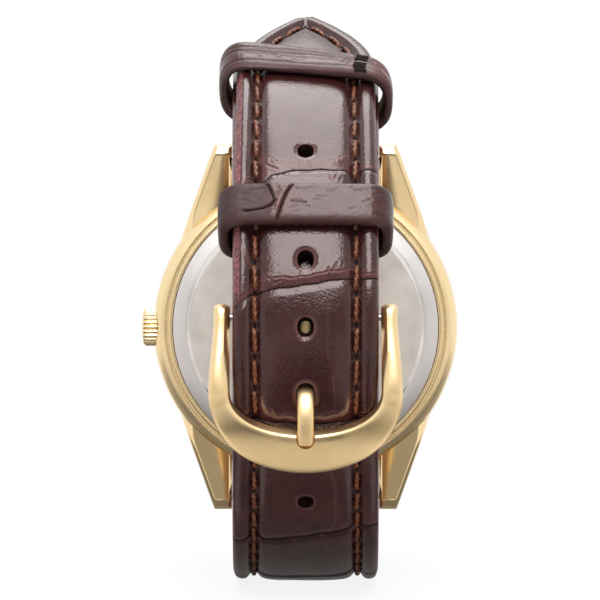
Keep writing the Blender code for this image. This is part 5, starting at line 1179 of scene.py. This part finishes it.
def framePlan():
    # inner and outer edge of the frame, from one arm's end round the bow to the other's
    long, bow = buckle["armLength"], buckle["length"] - buckle["armLength"]
    outer = buckle["inner"] + buckle["arm"]
    arm = np.concatenate((np.linspace(-buckle["end"], 0.5, 15)[:-1], np.linspace(0.5, long, 24)[:-1]))
    turn = np.linspace(0, math.pi, 97)
    for wide, belly, deep in ((buckle["inner"], 0.0, bow - buckle["band"]), (outer, buckle["belly"], bow)):
        side = np.stack((wide + belly * smooth(arm / long), arm), -1)
        bend = np.stack(((wide + belly) * np.cos(turn), long + deep * np.sin(turn)), -1)
        yield np.vstack((side, bend, side[::-1] * (-1, 1)))


def buckleFrame():
    half = buckle["thick"] / 2
    turn = circled(40)
    sections, plan = [], list(zip(*framePlan()))
    for i, (a, b) in enumerate(plan):
        broad = smooth((np.linalg.norm(b - a) - 1.9) / 2.2)
        fullness = buckle["armRound"] + (buckle["bandRound"] - buckle["armRound"]) * broad
        share, lift = (np.sign(part) * np.abs(part) ** (2 / fullness) for part in (np.cos(turn), np.sin(turn)))
        share, lift = 0.5 + 0.5 * share, half * lift
        flat = a + (b - a) * share[:, None]
        far = np.clip((a[1] + buckle["end"]) / (buckle["armLength"] + 2.0), 0.0, 1.0)
        # the arms are deepest at the bar, their faces lean a little outwards and are bevelled inwards
        bevel = np.clip(1 - share / buckle["bevelShare"], 0, 1) * (1 - smooth((far - 0.45) / 0.5))
        slope = buckle["lean"] * share * (1 - smooth(far)) + buckle["innerBevel"] * bevel
        fromEnd = np.clip((a[1] + buckle["end"]) / buckle["endRound"], 0.0, 1.0)
        deep = buckle["barDeep"] * (1 - far) * (0.25 + 0.75 * math.sqrt(1 - (1 - fromEnd) ** 2))
        lift = np.where(lift > 0, np.maximum(lift * (1 + deep / half) - slope, 0.3 * lift), lift)
        rings, mid = [], flat.mean(0)
        for back, small in ((0.0, 0.55), (0.10, 0.80), (0.28, 0.95), (0.28, 1.0)):
            # the arm's end is rounded over a short way
            drawn = mid + (flat - mid) * small + (0.0, back - 0.28)
            rings.append(onBuckle(drawn[:, 0], drawn[:, 1], frameRadius(drawn[:, 1]) + lift * small))
        sections += rings if i == 0 else rings[::-1] if i == len(plan) - 1 else rings[-1:]
    piece = makePiece("buckleFrameGold", lofted(sections), [satinGold], "frame", ["buckle_frame"])
    wide = buckle["tongueWide"] / 2 + 0.12
    turn = np.linspace(math.pi, 0, 17)
    tip = np.stack((wide * np.cos(turn), bandStart + 0.35 + wide * np.sin(turn)), -1)
    x, d = np.concatenate(([(-wide, bandStart - 2.0)], tip, [(wide, bandStart - 2.0)])).T
    rings = [onBuckle(x, d, np.full(len(x), seatLevel + level)) for level in (0.0, 3.0)]
    cutWith(piece, "tongueSeat", lofted(rings))
    sharpen(piece.data, 38)


def buckleTongue():
    hole = math.radians(loop["barTurn"]) * loop["near"] + punch["pitch"]
    eye, half, wide = buckle["eye"], buckle["tongueThick"] / 2, buckle["tongueWide"]
    under = loop["near"] - loop["holeThick"] - loop["tailGap"] - half
    over = loop["near"] + loop["tailGap"] + half
    seat = seatLevel + buckle["seatGap"] + half
    line = np.array([
        (eye * 0.6, buckleMiddle + eye + half * 0.4), (hole - 2.34, under), (hole - 0.7, under + half * 0.6),
        (hole - 0.1, under + half * 3.2), (hole + 0.1, over - half * 1.4), (hole + 1.0, over + half * 0.7),
        (bandStart - 0.7, seat - 0.05), (bandStart + 0.2, seat), (bandStart + buckle["notch"], seat - 0.1),
    ])
    run = runAlong(line)
    at = np.linspace(0, run[-1], buckle["tongueSteps"])
    path = np.stack([curveThrough(run, part, at) for part in line.T], -1)
    for _ in range(buckle["easings"]):
        path[1:-1] = path[1:-1] * 0.5 + (path[:-2] + path[2:]) * 0.25
    ahead = np.gradient(path, axis=0)
    ahead /= np.linalg.norm(ahead, axis=1)[:, None]
    side = np.stack((-ahead[:, 1], ahead[:, 0]), -1)
    fromTip = np.clip(1 - (run[-1] + half - at) / buckle["tipRound"], 0, 1)
    slim = np.sqrt(np.clip(1 - fromTip ** 2, 0.02, 1))
    outline = filleted([(-0.5, -0.5), (0.5, -0.5), (0.5, 0.5), (-0.5, 0.5)], buckle["tongueEdge"], 7)
    blade = []
    for spot, lean, small in zip(path, side, slim):
        spread = spot + lean * outline[:, 1:] * buckle["tongueThick"] * min(1.0, 0.45 + 0.55 * small)
        blade.append(onBuckle(outline[:, 0] * wide * small, *spread.T))
    # the eye rolled round the bar
    wall = buckle["tongueThick"] * buckle["eyeWall"]
    reach = eye + wall / 2 + outline[:, 1] * wall
    ring = [
        onBuckle(outline[:, 0] * wide, reach * math.cos(angle), buckleMiddle + reach * math.sin(angle))
        for angle in np.radians(np.linspace(*buckle["eyeTurn"]))
    ]
    form = joined((lofted(blade), lofted(ring)))
    makePiece("buckleTongueGold", form, [tongueGold], "tongue", ["buckle_tongue"], sharp=45)


buckleFrame()
buckleTongue()
print("buckle made")


# head: case ring with lugs, lid, bezel, crown; profiles are radius and level above the lid

caseForm = {
    "radius": 19.25, "top": 7.4, "rim": 0.5, "mouth": 14.6, "cavity": 15.9, "ledge": 1.28, "lidRadius": 16.75,
    "lugGap": 18.6, "lugTip": 23.0, "lugSpan": 46.0, "lugTaper": 20.0, "lugTurn": 33.0, "barInset": 1.6,
    "barLevel": 2.1, "soft": 0.14, "lugSink": 1.1,
}
crownForm = {
    "level": 3.7, "recess": 2.6, "recessFrom": 17.95, "recessTo": 23.0, "start": 18.15, "end": 20.75, "flutes": 24,
    "fluteDeep": 0.24, "fluteSteps": 10, "fluteRound": 1.5,
    # distance from the start or the end, radius, share of the flutes' depth
    "foot": ((0.0, 1.35, 0), (0.0, 1.9, 0), (0.0, 2.12, 0.3), (0.12, 2.30, 1), (0.35, 2.40, 1)),
    "head": (
        (-0.62, 2.40, 1), (-0.40, 2.34, 1), (-0.25, 2.18, 0.5), (-0.18, 2.05, 0), (-0.12, 1.7, 0), (-0.04, 1.0, 0),
        (0.0, 0.3, 0), (0.0, 0.02, 0),
    ),
}


def turnedPiece(name, profile, steps, look, replaced, sharp=None):
    return makePiece(name, inHead(turned(profile, steps)), [look], "case", replaced, sharp=sharp)


def caseRing():
    r, top, rim, lid = caseForm["radius"], caseForm["top"], caseForm["rim"], caseForm["lidRadius"] + 0.05
    profile = filleted([
        (caseForm["mouth"], top), (r - 0.6, top), (r - 0.2, top - 0.72), (r, top - 1.8), (r, rim + 2.4),
        (r - 0.25, rim + 1.1), (r - 0.8, rim + 0.33), (r - 1.45, rim + 0.05), (r - 1.45, rim + 0.3),
        (r - 1.9, rim + 0.3), (r - 1.9, rim + 0.1), (r - 2.1, rim), (lid, rim), (lid, caseForm["ledge"]),
        (caseForm["cavity"], caseForm["ledge"]), (caseForm["cavity"], top - 0.45), (caseForm["mouth"], top - 0.45),
    ], caseForm["soft"], 3)
    piece = turnedPiece("caseRingGold", profile, 256, ringGold, ["case_middle"])
    # recess that the crown seats into
    turn, wide = circled(48), crownForm["recess"]
    rings = [
        np.stack((np.full(48, x), wide * np.cos(turn), crownForm["level"] + wide * np.sin(turn)), -1)
        for x in (crownForm["recessFrom"], crownForm["recessTo"])
    ]
    cutWith(piece, "crownRecess", inHead(lofted(rings)))
    sharpen(piece.data, 40)


lugForm = {
    "ringWide": 3.35, "joinShare": 0.6, "full": 0.82, "cap": 1.04, "tipSlope": 1.2, "lift": 0.15, "tipLift": 0.30,
    "tipLiftFrom": 1.3, "tipLiftOver": 1.1, "bevel": 0.55, "bevelWide": 0.24, "bevelHigh": 0.25, "rootOver": 4.5,
    "rootInset": 1.35, "rootLift": 2.1, "innerShare": 0.6, "roundShare": 0.34, "soft": 0.13,
}


def lugSection(y, root, tip):
    # outline of a lug at one place along it
    level, thick, rim = caseForm["barLevel"], caseForm["barInset"], caseForm["rim"]
    join = caseForm["radius"] - lugForm["ringWide"] * lugForm["joinShare"]
    outX = caseForm["lugTip"] / 2 + (tip - y) * math.tan(math.radians(caseForm["lugTaper"]))
    inX = max(caseForm["lugGap"] / 2, math.sqrt(max(join * join - y * y, 0.0)))
    cap = math.sqrt(max((thick * lugForm["cap"]) ** 2 - max(y - tip + thick, 0.0) ** 2, 0.0))
    full = caseForm["top"] * lugForm["full"]
    high = full - (full - level - thick) * float(smooth((y - root) / (tip - root)))
    high = min(high, level + cap + (tip - y) * lugForm["tipSlope"])
    sink = caseForm["lugSink"] * (tip - y) / (tip - root)
    raised = lugForm["tipLift"] * float(smooth((y - tip + lugForm["tipLiftFrom"]) / lugForm["tipLiftOver"]))
    low = max(rim + lugForm["lift"] + sink + raised, level - cap)
    bevel = min(lugForm["bevel"], (outX - inX) * lugForm["bevelWide"], (high - low) * lugForm["bevelHigh"])
    # at the root the lug has the ring's own round edge
    blend = 1 - float(smooth((y - root) / lugForm["rootOver"]))
    inset, lift = (bevel + (lugForm[key] - bevel) * blend for key in ("rootInset", "rootLift"))
    inner, share = bevel * lugForm["innerShare"], lugForm["roundShare"]
    return filleted([
        (inX, low + inner), (inX + inner, low), (outX - inset, low), (outX - inset * share, low + lift * share),
        (outX, low + lift), (outX, high - bevel), (outX - bevel, high), (inX, high),
    ], lugForm["soft"], 3)


def caseLugs():
    tip, root = caseForm["lugSpan"] / 2, caseForm["radius"] * math.sin(math.radians(caseForm["lugTurn"]))
    share = np.concatenate((np.linspace(0, 0.8, 18), np.linspace(0.8, 1.0, 18)[1:]))
    places = root + (tip - root) * share
    rings = [(y, lugSection(y, root, tip)) for y in places]
    lugs = joined(
        lofted([np.stack((signX * ring[:, 0], np.full(len(ring), signY * y), ring[:, 1]), -1) for y, ring in rings])
        for signX in (-1, 1) for signY in (-1, 1)
    )
    makePiece("caseLugsGold", inHead(lugs), [lugGold], "case", ["case_middle"], sharp=32)


lidForm = {
    "profile": [
        (0.0, 0.0), (14.55, 0.0), (14.95, 0.16), (15.2, 0.18), (caseForm["lidRadius"], 0.60),
        (caseForm["lidRadius"], 1.0), (15.8, 1.0), (15.8, 1.8), (15.3, 1.8), (15.3, 1.0), (0.0, 1.0),
    ],
    "soft": 0.10, "axis": 0.02, "flat": (0.6, 14.2, 18), "steps": 224, "rimFrom": 15.0, "stepFrom": 14.5,
}


def caseLid():
    profile = filleted(lidForm["profile"], lidForm["soft"], 3, closed=False)
    profile[0, 0] = profile[-1, 0] = lidForm["axis"]
    extra = [(x, 0.0) for x in np.linspace(*lidForm["flat"])]
    points, faces = turned(np.vstack((profile[:1], extra, profile[1:])), lidForm["steps"])
    radius = np.hypot(points[faces][:, :, 0], points[faces][:, :, 1]).mean(1)
    # rim and chamfer take the copies with painted reflection and painted highlight
    lookOf = np.where(radius > lidForm["rimFrom"], 1, np.where(radius > lidForm["stepFrom"], 2, 0))
    looks = [lidSteel, lidRimSteel, lidStepSteel]
    form = inHead((points, faces))
    makePiece("caseLidSteel", form, looks, "case", ["case_back"], lookOf=lookOf, sharp=40)


def crownKnob():
    turn = circled(crownForm["flutes"] * crownForm["fluteSteps"])
    wave = 0.5 + 0.5 * np.cos(turn * crownForm["flutes"])
    rows = []
    for x, radius, flute in [
        (crownForm[origin] + off, *rest)
        for origin, part in (("start", "foot"), ("end", "head")) for off, *rest in crownForm[part]
    ]:
        reach = radius - crownForm["fluteDeep"] * flute * (1 - wave) ** crownForm["fluteRound"]
        y, z = reach * np.cos(turn), crownForm["level"] + reach * np.sin(turn)
        rows.append(np.stack((np.full(len(turn), x), y, z), -1))
    form = inHead((np.vstack(rows), gridFaces(len(rows), len(turn), False, True)))
    makePiece("crownGold", form, [ringGold], "crown", ["crown"], sharp=50)


frontRings = {
    "dialRingGold": [(14.4, 5.8), (15.7, 5.8), (15.7, 6.9), (15.15, 6.9), (14.55, 6.05)],
    "crystalDisc": [(0.02, 7.45), (15.51, 7.45), (15.51, 8.6), (15.2, 8.82), (12.0, 8.85), (0.02, 8.85)],
    "bezelGold": [(16.56, 8.6), (17.53, 8.45), (18.25, 7.95), (18.4, 7.45), (16.1, 7.45), (16.1, 8.4)],
}


def dialSurround():
    ring = filleted(frontRings["dialRingGold"], 0.06, 3)
    turnedPiece("dialRingGold", ring, 224, satinGold, ["dial_ring"], 40)
    disc = filleted(frontRings["crystalDisc"], 0.12, 3, closed=False)
    turnedPiece("crystalDisc", disc, 192, slotLooks["glass"], ["crystal"], 40)


def bezelRing():
    ring = filleted(frontRings["bezelGold"], 0.16, 4)
    turnedPiece("bezelGold", ring, 224, polishedGold, ["bezel"])


caseRing()
caseLugs()
dialSurround()
caseLid()
bezelRing()
crownKnob()
print("case, lid, bezel and crown made")


# dial side: rayed dial with raised markers, a minute track and faceted hands

dialForm = {
    "inner": 0.75, "radius": 15.7, "low": 5.4, "high": 5.75, "markerLong": 2.4, "markerWide": 0.6, "outside": 13.8,
    "track": 14.0,
}
handForm = {  # reach, half width and level of each hand
    "hour_hand": (8.16, 0.62, 6.05), "minute_hand": (12.25, 0.52, 6.40), "second_hand": (13.03, 0.14, 6.75),
    "thick": 0.15, "widest": 0.16, "hub": 0.55,
}


def flatBar(half, y0, y1, low, high, ridge):
    # a bar with a raised middle line, in the head frame, along +y
    corners = ((-half, y0), (half, y0), (half, y1), (-half, y1))
    points = [(x, y, z) for z in (low, high) for x, y in corners] + [(0, y0, high + ridge), (0, y1, high + ridge)]
    faces = [(0, 3, 2, 1), (0, 1, 5, 8, 4), (2, 3, 7, 9, 6), (1, 2, 6, 5), (3, 0, 4, 7), (4, 8, 9, 7), (8, 5, 6, 9)]
    return points, faces


def spun(form, angle):
    c, s = math.cos(angle), math.sin(angle)
    x, y, z = np.array(form[0], float).T
    return np.stack((x * c + y * s, -x * s + y * c, z), -1), form[1]


def dialFace():
    inner, r, low, high = (dialForm[key] for key in ("inner", "radius", "low", "high"))
    profile = filleted([(inner, low), (r, low), (r, high), (inner, high)], 0.05, 2)
    turnedPiece("dialPlate", profile, 160, slotLooks["dial"], ["dial"], 35)
    markers, ticks = [], []
    for i in range(12):
        wide = dialForm["markerWide"] / 2 * (1.35 if i % 3 == 0 else 1.0)
        start = dialForm["outside"] - dialForm["markerLong"]
        marker = flatBar(wide, start, dialForm["outside"], high - 0.02, high + 0.10, 0.12)
        markers.append(spun(marker, math.tau * i / 12))
    makePiece("dialMarkers", inHead(joined(markers)), [polishedGold], "case", [], sharp=20)
    for i in range(60):
        end = dialForm["track"] + (0.3 if i % 5 else 0.36)
        tick = flatBar(0.05, dialForm["track"], end, high - 0.01, high + 0.012, 0.004)
        ticks.append(spun(tick, math.tau * i / 60))
    makePiece("dialMinuteTrack", inHead(joined(ticks)), [slotLooks["seal"]], "case", [], sharp=20)


def handLeaf(length, wide, level):
    # a leaf with a raised middle line, and the round hub over it
    top, tail, broad = level + handForm["thick"], length * 0.16, length * handForm["widest"]
    leaf = [
        (-wide * 0.55, 0.0), (-wide, broad), (0.0, length), (wide, broad), (wide * 0.55, 0.0), (wide * 0.35, -tail),
        (-wide * 0.35, -tail),
    ]
    points = [(x, y, z) for z in (level, top) for x, y in leaf]
    points += [(0.0, 0.0, top + 0.04), (0.0, broad, top + 0.06), (0.0, -tail, top + 0.02)]
    faces = [(6, 5, 4, 3, 2, 1, 0)] + [(i, (i + 1) % 7, 7 + (i + 1) % 7, 7 + i) for i in range(7)]
    faces += [
        (7, 14, 15, 8), (8, 15, 9), (9, 15, 10), (10, 15, 14, 11), (11, 14, 16, 12), (12, 16, 13), (13, 16, 14, 7),
    ]
    hub = max(wide * 1.15, handForm["hub"])
    disc = [
        (radius * math.cos(t), radius * math.sin(t), z)
        for radius, z in ((hub, level), (hub, top + 0.05), (hub - 0.12, top + 0.10), (0.02, top + 0.10))
        for t in circled(40)
    ]
    return joined(((points, faces), (disc, gridFaces(4, 40, False, True))))


def makeHand(name, node, body):
    lo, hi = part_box(node)
    reach = np.array(((lo[0] + hi[0]) / 2, (lo[2] + hi[2]) / 2)) / mm
    angle = math.atan2(-reach[0], reach[1])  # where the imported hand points
    form = inHead(spun(handLeaf(*handForm[node]), angle))
    makePiece(name, form, [polishedGold], body, [node], sharp=15)


dialFace()
makeHand("hourHandGold", "hour_hand", "hour")
makeHand("minuteHandGold", "minute_hand", "centre")
makeHand("secondHandGold", "second_hand", "seconds")
print("dial, markers and hands made")

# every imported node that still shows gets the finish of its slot
slotOf = {row["node"]: row["material_slot"] for row in frame["record"]["subparts"]}
for name, node in frame["nodes"].items():
    look = slotLooks.get(slotOf.get(name))
    if look:
        node.data.materials.clear()
        node.data.materials.append(look)
print("packed nodes finished")


# stage, in metres: white floor and room, two soft boxes, and cards that only reflections show

stageForm = {
    "floor": cadBox[0][2] - 0.00002, "reach": 0.5, "white": 0.88, "shade": 0.12, "shadeFrom": 0.10, "shadeTo": 0.40,
    "fill": 0.24, "front": 5.9, "top": 4.2, "boxWide": 0.42, "boxFar": 0.75,
    "card": 0.36, "cardEnds": 0.4, "cardFar": 0.62, "strip": 0.56, "under": 0.55,
    # mat on the floor: place towards the camera, and level there
    "mat": (
        (-0.9, 0.16), (-0.40, 0.16), (-0.20, 0.24), (-0.11, 0.03), (-0.046, 0.05), (-0.0375, 0.78), (-0.027, 0.78),
        (-0.021, 0.20), (0.02, 0.20), (0.07, 0.55), (0.11, 1.0),
    ),
}


def lightPathMask(tree):
    path = addNode(tree, "ShaderNodeLightPath").outputs
    seen = reckon(tree, "MAXIMUM", path["Is Camera Ray"], path["Is Glossy Ray"])
    return reckon(tree, "MAXIMUM", seen, path["Is Transmission Ray"])


def makeFloor():
    reach, level = stageForm["reach"], stageForm["floor"]
    corners = [(-reach, -reach, level), (reach, -reach, level), (reach, reach, level), (-reach, reach, level)]
    mesh = newMesh("floor", corners, [(0, 1, 2, 3)], 1.0)
    floor = addObject("floor", mesh)
    material, tree, shader = newMaterial("paleFloor")
    feed(tree, shader, {"Roughness": 0.9, "Specular IOR Level": 0.0, "Base Color": (stageForm["white"],) * 3})
    far = addNode(tree, "ShaderNodeVectorMath", {0: ownPlace(tree)}, operation="LENGTH").outputs["Value"]
    # the white room shows through; the shadow stays near the watch and fades towards the edge
    clear = addNode(tree, "ShaderNodeBsdfTransparent").outputs[0]
    white = stretch(tree, far, stageForm["shadeFrom"], stageForm["shadeTo"], 1.0 - stageForm["shade"], 1.0)
    share = reckon(tree, "MULTIPLY", lightPathMask(tree), white)
    blend = addNode(tree, "ShaderNodeMixShader", {0: share, 1: shader.outputs[0], 2: clear})
    feed(tree, tree.nodes["Material Output"], {0: blend.outputs[0]})
    mesh.materials.append(material)


def makeCard(name, points, faces, levels):
    # seen only in reflections, as a photographer's dark card would be
    mesh = newMesh(name, points, faces, 1.0)
    addMask(mesh, "level", levels)
    card = addObject(name, mesh)
    material, tree, shader = newMaterial(name)
    tree.nodes.remove(shader)
    glow = addNode(tree, "ShaderNodeEmission", {"Color": (1.0, 0.96, 0.93), "Strength": pieceMask(tree, "level")})
    feed(tree, tree.nodes["Material Output"], {0: glow.outputs[0]})
    mesh.materials.append(material)
    card.visible_camera = card.visible_diffuse = card.visible_shadow = card.visible_transmission = False


def between(*stops):
    # places with a count for each stretch: start, then pairs of count and end
    parts = [np.linspace(a, b, count)[:-1] for a, count, b in zip(stops[::2], stops[1::2], stops[2::2])]
    return np.concatenate((*parts, stops[-1:]))


cardForm = {
    # dark wall before the watch: degrees up and aside with their counts, and where it turns paler
    "up": (-3, 14, 8), "sides": (-55, 55, 24), "paler": (0.35, 0.3),
    # mat on the floor, in metres: its stretches, and where its sides fade
    "away": (-0.9, 8, -0.26, 30, -0.07, 64, 0.11), "across": (-0.5, 16, -0.03, 31, 0.03, 16, 0.5),
    "matSide": 0.08, "matSpread": 0.35, "spreadFrom": 0.1, "matFade": 0.12, "matLift": 0.0004,
    # pale strips on the mat: where each fade starts and how far it runs
    "aside": (0.016, 0.008), "asideNear": 0.02, "asideMore": 0.1, "stripIn": (0.0075, 0.0035), "stripNear": 0.045,
    "stripNearOver": 0.02, "stripFar": (-0.72, 0.15), "underIn": (0.0085, 0.003), "underOut": (-0.026, 0.006),
    "underFar": (-0.045, 0.012), "underNear": (0.006, 0.008),
}


def makeCards():
    def fade(value, key):
        start, over = cardForm[key]
        return smooth((value - start) / over)

    angles, sides = (np.radians(np.linspace(*cardForm[key])) for key in ("up", "sides"))
    a, b = np.meshgrid(angles, sides, indexing="ij")
    wall = stageForm["cardFar"] * np.stack((np.cos(a) * np.sin(b), -np.cos(a) * np.cos(b), np.sin(a)), -1)
    paler = fade(np.abs(b), "paler").reshape(-1)
    makeCard("darkCard", wall.reshape(-1, 3), gridFaces(*a.shape), stageForm["card"] + stageForm["cardEnds"] * paler)
    y, x = np.meshgrid(between(*cardForm["away"]), between(*cardForm["across"]), indexing="ij")
    wide = np.abs(x)
    level = np.interp(y, *zip(*stageForm["mat"]))
    spread = cardForm["matSpread"] * np.clip(-y - cardForm["spreadFrom"], 0, 1)
    level = level + (1 - level) * smooth((wide - cardForm["matSide"] - spread) / cardForm["matFade"])
    # a pale strip on each side of the strap, for the faces of the buckle and the lower lugs
    aside = fade(wide, "aside")
    near = smooth((-y - cardForm["stripNear"] + cardForm["asideNear"] * aside) / cardForm["stripNearOver"])
    strip = fade(wide, "stripIn") * near * fade(y, "stripFar")
    under = fade(wide, "underIn") * fade(-wide, "underOut")
    under = under * fade(y, "underFar") * fade(-y, "underNear")
    level = level + (stageForm["strip"] + cardForm["asideMore"] * aside) * strip + stageForm["under"] * under
    points = np.stack((x, y, np.full(x.shape, stageForm["floor"] + cardForm["matLift"])), -1).reshape(-1, 3)
    makeCard("floorMat", points, gridFaces(*x.shape), np.clip(level, 0.0, 1.0).reshape(-1))


def softBox(name, elevation, tall, level):
    wide, far, lean = stageForm["boxWide"], stageForm["boxFar"], math.radians(elevation)
    lamp = bpy.data.lights.new(name, "AREA")
    lamp.shape = "RECTANGLE"
    lamp.size, lamp.size_y = wide, tall
    lamp.energy = level * math.pi * wide * tall
    box = addObject(name, lamp)
    box.location = (0.0, -far * math.cos(lean), far * math.sin(lean))
    box.rotation_euler = (math.radians(90.0 - elevation), 0.0, 0.0)
    box.visible_camera = False


def makeWorld():
    scene.world = bpy.data.worlds.new("whiteRoom")
    scene.world.use_nodes = True
    tree = scene.world.node_tree
    strength = stretch(tree, lightPathMask(tree), 0.0, 1.0, stageForm["fill"], 1.0)
    feed(tree, tree.nodes["Background"], {"Color": (1.0, 1.0, 1.0), "Strength": strength})


def makeCamera():
    data = bpy.data.cameras.new("camera")
    data.lens, data.sensor_width = 174.24, 36.0
    data.shift_x, data.shift_y = -0.0093, 0.045
    data.clip_start, data.clip_end = 0.01, 20.0
    scene.camera = addObject("camera", data)
    scene.camera.location = (0.0, -0.341, 0.0)
    scene.camera.rotation_euler = (math.radians(90.0), 0.0, 0.0)


makeFloor()
makeCards()
softBox("frontBox", 50.0, 0.80, stageForm["front"])
softBox("topBox", 100.0, 0.72, stageForm["top"])
makeWorld()
makeCamera()
scene.view_settings.view_transform = "Standard"
print("stage, lamps and camera made")
